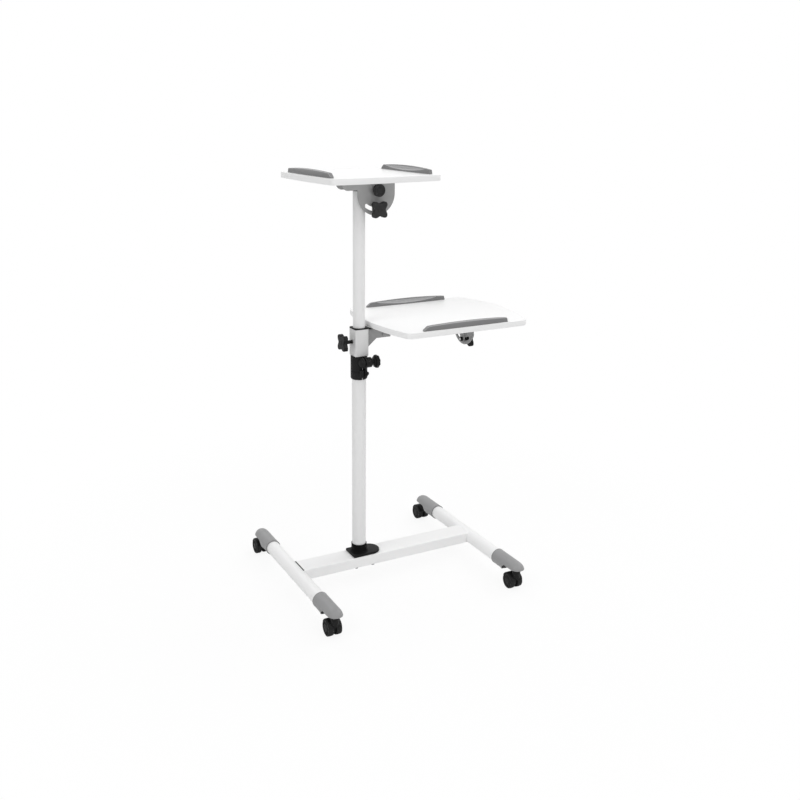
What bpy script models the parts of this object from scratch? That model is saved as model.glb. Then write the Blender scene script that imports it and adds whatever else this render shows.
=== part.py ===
import math

import bmesh
import bpy

# Projector trolley: a two-legged base on twin-wheel casters, a telescopic column,
# a tilting shelf on its top and a second tilting shelf on a side arm.
# Lengths are in metres, +Z is up. Places are given from the column's axis at the
# floor: +X runs along the crossbar to the right foot, +Y along the feet to the back.

# Clearances
GAP = 0.0003
OVERRUN = 0.004
WELD_DISTANCE = 0.00001
ROUND_SIDES = 32
MIDDLE_SIDES = 24
SMALL_SIDES = 16
SHARP_ANGLE = math.radians(35)

# Base
FOOT_TUBE_DIAMETER = 0.038
FOOT_TUBE_LENGTH = 0.400
FOOT_TUBE_WALL = 0.002
FOOT_AXIS_HEIGHT = 0.059
COLUMN_TO_LEFT_FOOT = 0.1925
COLUMN_TO_RIGHT_FOOT = 0.3545
CROSSBAR_WIDTH = 0.060
CROSSBAR_HEIGHT = 0.030
CROSSBAR_WALL = 0.002
CROSSBAR_EDGE_RADIUS = 0.003
CROSSBAR_LIFT = 0.001

# End caps of the feet
CAP_WALL = 0.00195
CAP_LENGTH = 0.110
CAP_GRIP_LENGTH = 0.036
CAP_NOSE_LENGTH = 0.024
CAP_NOSE_FULLNESS = 2.5
CAP_SWOOP_START = 0.032
CAP_SWOOP_END = 0.072
CAP_BOSS_RADIUS = 0.008

# Casters
WHEEL_RADIUS = 0.021
WHEEL_WIDTH = 0.0145
WHEEL_SPACING = 0.0075
WHEEL_EDGE_RADIUS = 0.002
AXLE_END_RECESS = 0.0015
CASTER_TRAIL = 0.0155
CASTER_SWIVEL_FROM_NOSE = 0.021
CASTER_HOOD_GAP = 0.0010
CASTER_HOOD_WALL = 0.0018
CASTER_HOOD_WIDTH = 0.036
CASTER_HOOD_HEM_HEIGHT = 0.030
CASTER_BOSS_RADIUS = 0.011
CASTER_BOSS_DEPTH = 0.024
CASTER_WEB_RADIUS = 0.016
CASTER_STEM_RADIUS = 0.004
CASTER_STEM_LENGTH = 0.013
CASTER_AXLE_RADIUS = 0.003

# Column socket on the crossbar
SOCKET_PLATE_THICKNESS = 0.0067
SOCKET_PLATE_LEFT = 0.028
SOCKET_PLATE_RIGHT = 0.060
SOCKET_PLATE_HALF_WIDTH = 0.0285
SOCKET_COLLAR_WALL = 0.00195
SOCKET_COLLAR_HEIGHT = 0.0225
SOCKET_FLARE_RADIUS = 0.026
SOCKET_FLARE_HEIGHT = 0.006
SOCKET_BOLT_LEFT = 0.016
SOCKET_BOLT_RIGHT = 0.035
SOCKET_BOLT_SIDE = 0.015
SOCKET_BOLT_RADIUS = 0.003
SOCKET_BOLT_HEAD_RADIUS = 0.0065
SOCKET_BOLT_HEAD_HEIGHT = 0.0075

# Column tubes
OUTER_TUBE_DIAMETER = 0.038
OUTER_TUBE_WALL = 0.002
OUTER_TUBE_LENGTH = 0.5577
INNER_TUBE_DIAMETER = 0.032
INNER_TUBE_WALL = 0.002
INNER_TUBE_LENGTH = 0.820
INNER_TUBE_OVERLAP = 0.380
GLIDE_FLANGE_HEIGHT = 0.0077
GLIDE_SPIGOT_LENGTH = 0.030
COLUMN_CAP_THICKNESS = 0.0025
COLUMN_CAP_SPIGOT_LENGTH = 0.012
COLUMN_ABOVE_HEAD_BLOCK = 0.006

# Height clamp at the top of the outer tube
CLAMP_WALL = 0.0032
CLAMP_GRIP_LENGTH = 0.058
CLAMP_NECK_HEIGHT = 0.0062
CLAMP_EDGE_RADIUS = 0.004
CLAMP_SLIT_WIDTH = 0.0024
CLAMP_BOSS_RADIUS = 0.0137
CLAMP_BOSS_LEFT = 0.014
CLAMP_BOSS_RIGHT = 0.022
CLAMP_BOSS_FRONT = 0.029
CLAMP_BOSS_DROP = 0.0149
CLAMP_EAR_HALF_WIDTH = 0.0095
CLAMP_EAR_FRONT = 0.032
CLAMP_EAR_BACK = 0.0185
CLAMP_EAR_BOTTOM = 0.009
CLAMP_EAR_HEIGHT = 0.020
CLAMP_SCREW_FRONT = 0.0275
CLAMP_SCREW_RADIUS = 0.0020
CLAMP_SCREW_HEAD_RADIUS = 0.0040
CLAMP_SCREW_HEAD_LENGTH = 0.0045
KNOB_STEM_RADIUS = 0.004
HEIGHT_KNOB_RADIUS = 0.018
HEIGHT_KNOB_THICKNESS = 0.011
HEIGHT_KNOB_NECK_RADIUS = 0.006
HEIGHT_KNOB_NECK_LENGTH = 0.009
HEIGHT_KNOB_STEM_LENGTH = 0.034
HEIGHT_KNOB_FLUTES = 10
HEIGHT_KNOB_FLUTE_DEPTH = 0.0007

# Four-lobed knobs
LOBED_KNOB_RADIUS = 0.027
LOBED_KNOB_WAIST_RADIUS = 0.0178
LOBED_KNOB_THICKNESS = 0.012
LOBED_KNOB_EDGE_RADIUS = 0.002
LOBED_KNOB_LOBES = 4

# Upper head and shelf, from the top of the inner tube. The head stands a little turned
# on the column, and its board a little off the column's axis.
HEAD_TURN = math.radians(2.8)
UPPER_TILT_OFFSET = 0.0395
UPPER_TILT_RISE = 0.0080
UPPER_BOARD_RISE = 0.0275
UPPER_BOARD_HALF_LENGTH = 0.160
UPPER_BOARD_HALF_WIDTH = 0.154
UPPER_BOARD_RIGHTWARD = 0.0027
UPPER_BOARD_BACKWARD = 0.004
UPPER_BOARD_BOW = 0.006
UPPER_BOARD_CORNER_RADIUS = 0.012
BOARD_THICKNESS = 0.015
BOARD_EDGE_RADIUS = 0.001
SHEET_THICKNESS = 0.002
HEAD_CHEEK_LOBE_RADIUS = 0.016
HEAD_TONGUE_HALF_WIDTH = 0.011
HEAD_TONGUE_SET_BACK = 0.0001
HEAD_BLOCK_LEFT = 0.002
HEAD_BLOCK_WALL = 0.0037
HEAD_BLOCK_HEIGHT = 0.022
HEAD_LOCK_BOSS_RADIUS = 0.0065
HEAD_LOCK_BOSS_LENGTH = 0.006
UPPER_EAR_HALF_WIDTH = 0.055
UPPER_EAR_ARC_DROP = 0.010
UPPER_SLOT_RADIUS = 0.049
UPPER_SLOT_WIDTH = 0.010
UPPER_SLOT_HALF_ANGLE = math.radians(37)
UPPER_FLANGE_REACH = 0.100
UPPER_FLANGE_SHORTER = 0.004
UPPER_FLANGE_DEPTH = 0.0265
UPPER_FLANGE_CORNER_RADIUS = 0.018
PIVOT_BOLT_RADIUS = 0.004
PIVOT_DISC_RADIUS = 0.0165
PIVOT_DISC_THICKNESS = 0.011
PIVOT_DISC_CHAMFER = 0.002
PIVOT_DISC_STANDOFF = 0.008
PIVOT_NECK_RADIUS = 0.006
PIVOT_NUT_RADIUS = 0.0075
PIVOT_NUT_THICKNESS = 0.005
LOCK_COLLAR_RADIUS = 0.008
UPPER_LOCK_STANDOFF = 0.010

# Rails that keep a device on a shelf: bulged in plan, with sloped sides under an arched ridge
STOP_LENGTH = 0.251
STOP_THICKNESS = 0.014
STOP_BULGE = 0.0022
STOP_ROUND_RADIUS = 0.003
STOP_RIDGE_WIDTH = 0.005
STOP_BAND_HEIGHT = 0.005
STOP_END_HEIGHT = 0.0105
STOP_MIDDLE_HEIGHT = 0.015
STOP_TIP_HEIGHT = 0.005
STOP_TAPER_LENGTH = 0.012
STOP_END_SLOPE = 0.004
UPPER_STOP_LEFT_X = 0.1395
UPPER_STOP_RIGHT_X = 0.1405
UPPER_STOP_MIDDLE_Y = 0.005
LOWER_STOP_FRONT_X = 0.2290
LOWER_STOP_BACK_X = 0.2345
LOWER_STOP_FRONT_Y = 0.1640
LOWER_STOP_BACK_Y = 0.1600

# Sleeve and arm of the lower shelf, from the top of the clamp
SLEEVE_WIDTH = 0.040
SLEEVE_WALL = 0.002
SLEEVE_CORNER_RADIUS = 0.005
SLEEVE_HEIGHT = 0.0722
SLEEVE_LINER_RIM = 0.0017
SLEEVE_BUSH_HEIGHT = 0.005
SLEEVE_KNOB_HEIGHT = 0.038
SLEEVE_KNOB_STANDOFF = 0.021
SLEEVE_KNOB_NECK_RADIUS = 0.0055
LOWER_TILT_HEIGHT = 0.0552
ARM_TUBE_WIDTH = 0.020
ARM_TUBE_WALL = 0.0015
ARM_TUBE_CORNER_RADIUS = 0.0018
ARM_TUBE_RISE = 0.002
ARM_LENGTH = 0.3020
ROOT_BRACKET_LENGTH = 0.068
ROOT_BRACKET_WALL = 0.0017
ROOT_BRACKET_FLOOR = 0.0037
ROOT_BRACKET_TOP_RISE = 0.001
ROOT_GUSSET_DEPTH = 0.022
ROOT_GUSSET_LENGTH = 0.026
ROOT_BOLT_RADIUS = 0.002
ROOT_BOLT_HEAD_RADIUS = 0.0042
ROOT_BOLT_HEAD_LENGTH = 0.0025
ROOT_BOLT_FROM_END = 0.0220
ROOT_BOLT_RISE = 0.004
ARM_END_PLATE_THICKNESS = 0.003
LOWER_EAR_THICKNESS = 0.003
LOWER_EAR_HALF_WIDTH = 0.051
LOWER_EAR_ARC_DROP = 0.011
LOWER_SLOT_RADIUS = 0.047
LOWER_SLOT_WIDTH = 0.0095
LOWER_SLOT_HALF_ANGLE = math.radians(34)
LOWER_WEB_HALF_WIDTH = 0.045
LOWER_WEB_LENGTH = 0.1265
LOWER_FLANGE_DEPTH = 0.012
LOWER_BOARD_RISE = 0.0182
LOWER_PIVOT_HEAD_RADIUS = 0.006
LOWER_PIVOT_HEAD_LENGTH = 0.0055
LOWER_PIVOT_WASHER_RADIUS = 0.009
LOWER_PIVOT_WASHER_LENGTH = 0.004
LOWER_LOCK_NUT_RADIUS = 0.0065
LOWER_LOCK_NUT_LENGTH = 0.0065
LOWER_LOCK_STANDOFF = 0.008
LOWER_BOARD_LEFT = 0.028
LOWER_BOARD_RIGHT = 0.456
LOWER_BOARD_HALF_WIDTH = 0.173
LOWER_BOARD_LEFT_BOW = 0.0272
LOWER_BOARD_RIGHT_BOW = 0.0393
LOWER_BOARD_LEFT_CORNER = 0.016
LOWER_BOARD_RIGHT_CORNER = 0.020

# Radii and levels that several pieces share
foot_radius = FOOT_TUBE_DIAMETER / 2
cap_bore = foot_radius + GAP
cap_radius = cap_bore + CAP_WALL
cap_start = FOOT_TUBE_LENGTH / 2 - CAP_GRIP_LENGTH
cap_tip = cap_start + CAP_LENGTH
swivel_distance = cap_tip - CASTER_SWIVEL_FROM_NOSE
hood_bore = WHEEL_RADIUS + CASTER_HOOD_GAP
hood_radius = hood_bore + CASTER_HOOD_WALL
crossbar_centre = FOOT_AXIS_HEIGHT + CROSSBAR_LIFT
crossbar_top = crossbar_centre + CROSSBAR_HEIGHT / 2
crossbar_bottom = crossbar_centre - CROSSBAR_HEIGHT / 2
plate_bottom = crossbar_top + GAP
plate_top = plate_bottom + SOCKET_PLATE_THICKNESS
outer_radius = OUTER_TUBE_DIAMETER / 2
outer_bore = outer_radius - OUTER_TUBE_WALL
inner_radius = INNER_TUBE_DIAMETER / 2
inner_bore = inner_radius - INNER_TUBE_WALL
running_bore = inner_radius + GAP
outer_bottom = plate_top + GAP
outer_top = outer_bottom + OUTER_TUBE_LENGTH
inner_bottom = outer_top - INNER_TUBE_OVERLAP
inner_top = inner_bottom + INNER_TUBE_LENGTH
clamp_bottom = outer_top - CLAMP_GRIP_LENGTH
clamp_top = outer_top + GAP + CLAMP_NECK_HEIGHT
sleeve_bottom = clamp_top + GAP
stem_hole = KNOB_STEM_RADIUS + GAP
socket_bolt_hole = SOCKET_BOLT_RADIUS + GAP
pivot_hole = PIVOT_BOLT_RADIUS + GAP
cheek_inside = running_bore + GAP
cheek_outside = cheek_inside + SHEET_THICKNESS
ear_inside = cheek_outside + GAP
ear_outside = ear_inside + SHEET_THICKNESS
arm_start = SLEEVE_WIDTH / 2 + GAP
arm_end = SLEEVE_WIDTH / 2 + ARM_LENGTH
end_plate_start = arm_end + GAP
end_plate_end = end_plate_start + ARM_END_PLATE_THICKNESS
lower_ear_start = end_plate_end + GAP
lower_ear_end = lower_ear_start + LOWER_EAR_THICKNESS

# The model's origin is the middle of its footprint, on the floor
hood_hem = CASTER_HOOD_HEM_HEIGHT - WHEEL_RADIUS
hood_hem_reach = math.sqrt(hood_radius ** 2 - hood_hem ** 2)
footprint_left = -COLUMN_TO_LEFT_FOOT - cap_radius
footprint_right = max(LOWER_BOARD_RIGHT, COLUMN_TO_RIGHT_FOOT + cap_radius)
footprint_front = -cap_tip
footprint_back = swivel_distance + CASTER_TRAIL + hood_hem_reach
origin_x = (footprint_left + footprint_right) / 2
origin_y = (footprint_front + footprint_back) / 2

# Finishes as colour, roughness and metallic value
WHITE_PAINT = ((0.86, 0.86, 0.86), 0.45, 0.0)
WHITE_BOARD = ((0.88, 0.88, 0.88), 0.40, 0.0)
SILVER_PAINT = ((0.62, 0.62, 0.63), 0.42, 0.0)
GREY_PAINT = ((0.30, 0.30, 0.31), 0.45, 0.0)
GREY_PLASTIC = ((0.28, 0.28, 0.285), 0.50, 0.0)
BLACK_PLASTIC = ((0.025, 0.025, 0.027), 0.45, 0.0)
WHEEL_PLASTIC = ((0.030, 0.030, 0.032), 0.55, 0.0)
STEEL = ((0.55, 0.55, 0.56), 0.35, 1.0)

AXIS_TURNS = {
    "Z": (0, 0, 0),
    "X": (0, math.pi / 2, 0),
    "-X": (0, -math.pi / 2, 0),
    "Y": (-math.pi / 2, 0, 0),
    "-Y": (math.pi / 2, 0, 0),
}
PLANE_TURNS = {
    "Z": (0, 0, 0),
    "X": (math.pi / 2, 0, math.pi / 2),
    "Y": (math.pi / 2, 0, 0),
}


def empty_scene():
    for old_object in list(bpy.data.objects):
        bpy.data.objects.remove(old_object, do_unlink=True)


def new_collection(name):
    collection = bpy.data.collections.new(name)
    bpy.context.scene.collection.children.link(collection)
    return collection


def pivot(name, parent, location=(0, 0, 0)):
    empty = bpy.data.objects.new(name, None)
    parts.objects.link(empty)
    empty.parent = parent
    empty.location = location
    return empty


def place(name, mesh, owner, location, turn=(0, 0, 0)):
    piece = bpy.data.objects.new(name, mesh)
    cutters.objects.link(piece)
    piece.parent = owner
    piece.location = location
    piece.rotation_euler = turn
    piece.hide_render = True
    piece.display_type = "WIRE"
    return piece


def finish(piece, look):
    if piece.modifiers:
        seams = piece.modifiers.new("closed seams", "WELD")
        seams.merge_threshold = WELD_DISTANCE
    colour, roughness, metallic = look
    material = bpy.data.materials.new(piece.name + "_finish")
    material.use_nodes = True
    shader = material.node_tree.nodes["Principled BSDF"]
    shader.inputs["Base Color"].default_value = (*colour, 1)
    shader.inputs["Roughness"].default_value = roughness
    shader.inputs["Metallic"].default_value = metallic
    piece.data.materials.clear()
    piece.data.materials.append(material)
    cutters.objects.unlink(piece)
    parts.objects.link(piece)
    piece.hide_render = False
    piece.display_type = "TEXTURED"
    return piece


def combine(piece, operation, *tools):
    for tool in tools:
        step = piece.modifiers.new(operation.lower() + " " + tool.name, "BOOLEAN")
        step.operation = operation
        step.solver = "EXACT"
        step.object = tool
    return piece


def cut(piece, *tools):
    return combine(piece, "DIFFERENCE", *tools)


def join(piece, *tools):
    return combine(piece, "UNION", *tools)


def round_edges(piece, width, segments):
    bevel = piece.modifiers.new("rounded edges", "BEVEL")
    bevel.width = width
    bevel.segments = segments
    bevel.limit_method = "ANGLE"
    bevel.angle_limit = math.radians(50)
    return piece


def shade_round(mesh):
    mesh.shade_smooth()
    mesh.set_sharp_from_angle(angle=SHARP_ANGLE)


def box(name, owner, low, high):
    size = [end - start for start, end in zip(low, high)]
    centre = [(start + end) / 2 for start, end in zip(low, high)]
    shape = bmesh.new()
    bmesh.ops.create_cube(shape, size=1)
    bmesh.ops.scale(shape, vec=size, verts=shape.verts)
    mesh = bpy.data.meshes.new(name)
    shape.to_mesh(mesh)
    shape.free()
    return place(name, mesh, owner, centre)


def rod(name, owner, radius, start, end, axis, across, up, sides=ROUND_SIDES):
    # A plain cylinder from start to end along its axis
    shape = bmesh.new()
    bmesh.ops.create_cone(
        shape, cap_ends=True, segments=sides, radius1=radius, radius2=radius, depth=abs(end - start)
    )
    mesh = bpy.data.meshes.new(name)
    shape.to_mesh(mesh)
    shape.free()
    shade_round(mesh)
    middle = (start + end) / 2
    centres = {"X": (middle, across, up), "Y": (across, middle, up), "Z": (across, up, middle)}
    return place(name, mesh, owner, centres[axis], AXIS_TURNS[axis])


def turned(name, owner, profile, location, axis="Z", closed=False, sides=ROUND_SIDES):
    # The profile is (radius, height) from the top, down the outer side
    shape = bmesh.new()
    points = [shape.verts.new((radius, 0, height)) for radius, height in profile]
    for first, second in zip(points, points[1:]):
        shape.edges.new((first, second))
    if closed:
        shape.edges.new((points[-1], points[0]))
    outline = bpy.data.meshes.new(name + "_profile")
    shape.to_mesh(outline)
    shape.free()
    guide = bpy.data.objects.new(name + "_profile", outline)
    cutters.objects.link(guide)
    screw = guide.modifiers.new("turned", "SCREW")
    screw.axis = "Z"
    screw.angle = 2 * math.pi
    screw.steps = sides
    screw.render_steps = sides
    screw.use_merge_vertices = True
    screw.merge_threshold = WELD_DISTANCE
    mesh = baked(guide, name)
    shade_round(mesh)
    return place(name, mesh, owner, location, AXIS_TURNS[axis])


def baked(guide, name):
    bpy.context.view_layer.update()
    depsgraph = bpy.context.evaluated_depsgraph_get()
    mesh = bpy.data.meshes.new_from_object(guide.evaluated_get(depsgraph))
    mesh.name = name
    bpy.data.objects.remove(guide, do_unlink=True)
    shape = bmesh.new()
    shape.from_mesh(mesh)
    bmesh.ops.remove_doubles(shape, verts=shape.verts, dist=WELD_DISTANCE)
    bmesh.ops.dissolve_degenerate(shape, edges=shape.edges, dist=WELD_DISTANCE)
    shape.to_mesh(mesh)
    shape.free()
    return mesh


def extruded(name, owner, outlines, depth, centre, axis="Z"):
    # Flat outlines, the first the rim and the others its holes, given a thickness.
    # Axis X reads them as (Y, Z), axis Y as (X, Z) and axis Z as (X, Y).
    curve = bpy.data.curves.new(name, "CURVE")
    curve.dimensions = "2D"
    curve.fill_mode = "BOTH"
    curve.extrude = depth / 2
    for outline in outlines:
        spline = curve.splines.new("POLY")
        spline.points.add(len(outline) - 1)
        for point, (across, up) in zip(spline.points, outline):
            point.co = (across, up, 0, 1)
        spline.use_cyclic_u = True
    guide = bpy.data.objects.new(name, curve)
    cutters.objects.link(guide)
    mesh = baked(guide, name)
    shade_round(mesh)
    return place(name, mesh, owner, centre, PLANE_TURNS[axis])


def arc(centre_x, centre_y, radius, start, end, steps):
    points = []
    for step in range(steps + 1):
        angle = start + (end - start) * step / steps
        points.append((centre_x + radius * math.cos(angle), centre_y + radius * math.sin(angle)))
    return points


def circle(radius, sides=SMALL_SIDES, centre_x=0, centre_y=0):
    return arc(centre_x, centre_y, radius, 0, 2 * math.pi, sides)[:-1]


def rounded_rectangle(half_width, half_height, radius, steps=3):
    points = []
    for corner, (side, level) in enumerate(((1, 1), (-1, 1), (-1, -1), (1, -1))):
        start = corner * math.pi / 2
        centre_x = side * (half_width - radius)
        centre_y = level * (half_height - radius)
        points += arc(centre_x, centre_y, radius, start, start + math.pi / 2, steps)
    return points


def arc_slot(radius, width, half_angle, steps=10):
    # A slot that follows an arc below the pivot, with round ends
    down = -math.pi / 2
    points = arc(0, 0, radius + width / 2, down - half_angle, down + half_angle, steps)
    end_x = radius * math.sin(half_angle)
    end_y = -radius * math.cos(half_angle)
    right = down + half_angle
    left = down - half_angle
    points += arc(end_x, end_y, width / 2, right, right + math.pi, 6)[1:-1]
    points += arc(0, 0, radius - width / 2, right, left, steps)
    points += arc(-end_x, end_y, width / 2, left - math.pi, left, 6)[1:-1]
    return points


def bowed_edge(start, end, bow, start_trim, end_trim, steps):
    # Points of a side from corner to corner that bulges outwards by its bow
    along = (end[0] - start[0], end[1] - start[1])
    points = []
    for step in range(steps + 1):
        chord_share = step / steps
        trimmed_share = start_trim * (1 - chord_share) + (1 - end_trim) * chord_share
        bulge_share = 4 * bow * trimmed_share * (1 - trimmed_share) / math.hypot(*along)
        points.append((
            start[0] + along[0] * trimmed_share + along[1] * bulge_share,
            start[1] + along[1] * trimmed_share - along[0] * bulge_share,
        ))
    return points


def bowed_outline(corners, bows, radii, side_steps=6, corner_steps=4):
    # Four bowed sides whose corners are eased by curves towards the sharp corner points
    sides = []
    for index, (corner, bow) in enumerate(zip(corners, bows)):
        following = (index + 1) % len(corners)
        length = math.dist(corner, corners[following])
        trims = (radii[index] / length, radii[following] / length)
        sides.append(bowed_edge(corner, corners[following], bow, *trims, side_steps))
    points = []
    for index, side in enumerate(sides):
        corner = corners[index]
        before = sides[index - 1][-1]
        after = side[0]
        for step in range(1, corner_steps):
            share = step / corner_steps
            points.append(tuple(
                first * (1 - share) ** 2 + middle * 2 * share * (1 - share) + last * share ** 2
                for first, middle, last in zip(before, corner, after)
            ))
        points += side
    return points


def board(name, owner, corners, bows, radii, bottom, turn):
    # The corners are given in the board's own frame, whose X runs along its stops
    outline = bowed_outline(corners, bows, radii)
    slab = extruded(name, owner, [outline], BOARD_THICKNESS, (0, 0, bottom + BOARD_THICKNESS / 2))
    slab.rotation_euler = (0, 0, turn)
    round_edges(slab, BOARD_EDGE_RADIUS, 1)
    return finish(slab, WHITE_BOARD)


def lobed_outline():
    waist = (LOBED_KNOB_RADIUS + LOBED_KNOB_WAIST_RADIUS) / 2
    swing = (LOBED_KNOB_RADIUS - LOBED_KNOB_WAIST_RADIUS) / 2
    sides = 8 * LOBED_KNOB_LOBES
    points = []
    for step in range(sides):
        angle = 2 * math.pi * step / sides
        radius = waist - swing * math.cos(LOBED_KNOB_LOBES * angle)
        points.append((radius * math.cos(angle), radius * math.sin(angle)))
    return points


def lobed_knob(name, owner, place_of_seat, axis, standoff, neck_radius, stem_reach):
    # The seat is where the neck meets what it presses on, the knob stands out from
    # it along its axis, and the stem runs the other way.
    hub = pivot(name + "_axis", owner, place_of_seat)
    hub.rotation_euler = AXIS_TURNS[axis]
    middle = standoff + LOBED_KNOB_THICKNESS / 2
    knob = extruded(name, hub, [lobed_outline()], LOBED_KNOB_THICKNESS, (0, 0, middle))
    round_edges(knob, LOBED_KNOB_EDGE_RADIUS, 1)
    inside = standoff + LOBED_KNOB_THICKNESS / 3
    stem_profile = [
        (0, inside),
        (neck_radius, inside),
        (neck_radius, 0),
        (KNOB_STEM_RADIUS, 0),
        (KNOB_STEM_RADIUS, -stem_reach),
        (0, -stem_reach),
    ]
    stem = turned(name + "_stem", hub, stem_profile, (0, 0, 0), sides=SMALL_SIDES)
    join(knob, stem)
    return finish(knob, BLACK_PLASTIC)


def round_tube(name, owner, radius, wall, length, location, look, axis="Z"):
    bore = radius - wall
    profile = [(bore, length), (radius, length), (radius, 0), (bore, 0)]
    return finish(turned(name, owner, profile, location, axis, closed=True), look)


def crossbar(owner):
    left = -COLUMN_TO_LEFT_FOOT
    right = COLUMN_TO_RIGHT_FOOT
    middle = ((left + right) / 2, 0, crossbar_centre)
    half_width = CROSSBAR_WIDTH / 2
    half_height = CROSSBAR_HEIGHT / 2
    rim = rounded_rectangle(half_width, half_height, CROSSBAR_EDGE_RADIUS)
    hollow = rounded_rectangle(
        half_width - CROSSBAR_WALL, half_height - CROSSBAR_WALL, CROSSBAR_EDGE_RADIUS - CROSSBAR_WALL
    )
    bar = extruded("crossbar", owner, [rim, hollow], right - left, middle, "X")
    for side, foot_x in (("left", left), ("right", right)):
        scribe = rod(
            "scribe_" + side, owner, cap_bore, -CROSSBAR_WIDTH, CROSSBAR_WIDTH, "Y", foot_x,
            FOOT_AXIS_HEIGHT,
        )
        cut(bar, scribe)
    low = crossbar_bottom - OVERRUN
    high = crossbar_top + OVERRUN
    for name, bolt_x, bolt_y in socket_bolt_places():
        hole = rod(
            "crossbar_hole_" + name, owner, socket_bolt_hole, low, high, "Z", bolt_x, bolt_y, SMALL_SIDES
        )
        cut(bar, hole)
    return finish(bar, WHITE_PAINT)


def foot(side, foot_x, owner):
    start = (foot_x, -FOOT_TUBE_LENGTH / 2, FOOT_AXIS_HEIGHT)
    name = "foot_" + side
    return round_tube(name, owner, foot_radius, FOOT_TUBE_WALL, FOOT_TUBE_LENGTH, start, WHITE_PAINT, "Y")


def nose_profile(radius, start, nose_start, nose_length, steps=7):
    # Down the outer side from the tip, as a full half oval, then a straight barrel
    points = []
    for step in range(steps + 1):
        angle = math.pi / 2 * step / steps
        across = radius * math.sin(angle) ** (2 / CAP_NOSE_FULLNESS)
        points.append((across, nose_start + nose_length * max(0, math.cos(angle)) ** (2 / CAP_NOSE_FULLNESS)))
    return points + [(radius, start), (0, start)]


def swoop_outline(steps=8):
    # The open underside of a cap, seen from the side: its hem climbs from the bottom to the axis
    below = -cap_radius - OVERRUN
    past = CAP_LENGTH + OVERRUN
    points = [(past, 0), (past, below), (CAP_SWOOP_START - OVERRUN, below)]
    for step in range(steps + 1):
        share = step / steps
        rise_share = share * share * (3 - 2 * share)
        hem_y = CAP_SWOOP_START + (CAP_SWOOP_END - CAP_SWOOP_START) * share
        points.append((hem_y, (below + OVERRUN) * (1 - rise_share)))
    return points


def end_cap(side, end, owner):
    # Modelled with the nose towards the owner's +Y
    barrel = CAP_LENGTH - CAP_NOSE_LENGTH
    name = "cap_" + side + "_" + end
    rim = nose_profile(cap_radius, 0, barrel, CAP_NOSE_LENGTH)
    cap = turned(name, owner, rim, (0, 0, 0), "Y", sides=MIDDLE_SIDES)
    inside = nose_profile(cap_bore, -OVERRUN, barrel, CAP_NOSE_LENGTH - CAP_WALL)
    hollow = turned(name + "_hollow", owner, inside, (0, 0, 0), "Y", sides=MIDDLE_SIDES)
    swivel_y = CAP_LENGTH - CASTER_SWIVEL_FROM_NOSE
    boss = rod(
        name + "_boss", owner, CAP_BOSS_RADIUS, -cap_radius, cap_radius, "Z", 0, swivel_y, SMALL_SIDES
    )
    cut(hollow, boss)
    underside = extruded(
        name + "_underside", owner, [swoop_outline()], 2 * cap_radius + 2 * OVERRUN, (0, 0, 0), "X"
    )
    stem_top = CASTER_STEM_LENGTH + GAP
    stem = rod(
        name + "_stem_hole", owner, CASTER_STEM_RADIUS + GAP, -OVERRUN, stem_top, "Z", 0, swivel_y,
        SMALL_SIDES,
    )
    cut(cap, hollow, underside, stem)
    return finish(cap, GREY_PLASTIC)


def caster(side, end, owner):
    # The owner stands on the swivel axis at floor level, the wheels trail to +Y
    name = "caster_" + side + "_" + end
    swivel = pivot(name + "_swivel", owner)
    hood_half = CASTER_HOOD_WIDTH / 2
    web_half = WHEEL_SPACING / 2 - GAP
    axle_height = WHEEL_RADIUS
    boss_top = FOOT_AXIS_HEIGHT - GAP
    body = rod(
        name + "_body", swivel, hood_radius, -hood_half, hood_half, "X", CASTER_TRAIL, axle_height,
        MIDDLE_SIDES,
    )
    boss = rod(
        name + "_boss", swivel, CASTER_BOSS_RADIUS, boss_top - CASTER_BOSS_DEPTH, boss_top, "Z", 0, 0,
        SMALL_SIDES,
    )
    low = (-CASTER_HOOD_WIDTH, CASTER_TRAIL - 2 * hood_radius, -OVERRUN)
    high = (CASTER_HOOD_WIDTH, CASTER_TRAIL + 2 * hood_radius, CASTER_HOOD_HEM_HEIGHT)
    below = box(name + "_below_hem", swivel, low, high)
    join(body, boss)
    cut(body, below)
    for hand, sign in (("left", -1), ("right", 1)):
        start = sign * web_half
        outer_x = sign * CASTER_HOOD_WIDTH
        bay = rod(
            name + "_bay_" + hand, swivel, hood_bore, start, outer_x, "X", CASTER_TRAIL, axle_height,
            MIDDLE_SIDES,
        )
        cut(body, bay)
    web = rod(
        name + "_web", swivel, CASTER_WEB_RADIUS, -web_half, web_half, "X", CASTER_TRAIL, axle_height,
        SMALL_SIDES,
    )
    stem_bottom = boss_top - CASTER_BOSS_DEPTH / 2
    stem_top = FOOT_AXIS_HEIGHT + CASTER_STEM_LENGTH
    stem = rod(
        name + "_stem", swivel, CASTER_STEM_RADIUS, stem_bottom, stem_top, "Z", 0, 0, SMALL_SIDES
    )
    bore_end = 2 * web_half
    bore = rod(
        name + "_bore", swivel, CASTER_AXLE_RADIUS + GAP, -bore_end, bore_end, "X", CASTER_TRAIL,
        axle_height, SMALL_SIDES,
    )
    join(body, web, stem)
    cut(body, bore)
    finish(body, BLACK_PLASTIC)
    axle_half = WHEEL_SPACING / 2 + WHEEL_WIDTH - AXLE_END_RECESS
    axle = rod(
        name + "_axle", swivel, CASTER_AXLE_RADIUS, -axle_half, axle_half, "X", CASTER_TRAIL,
        axle_height, SMALL_SIDES,
    )
    finish(axle, STEEL)
    for hand, axis, sign in (("left", "-X", -1), ("right", "X", 1)):
        wheel(name + "_wheel_" + hand, swivel, (sign * WHEEL_SPACING / 2, CASTER_TRAIL, axle_height), axis)


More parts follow.
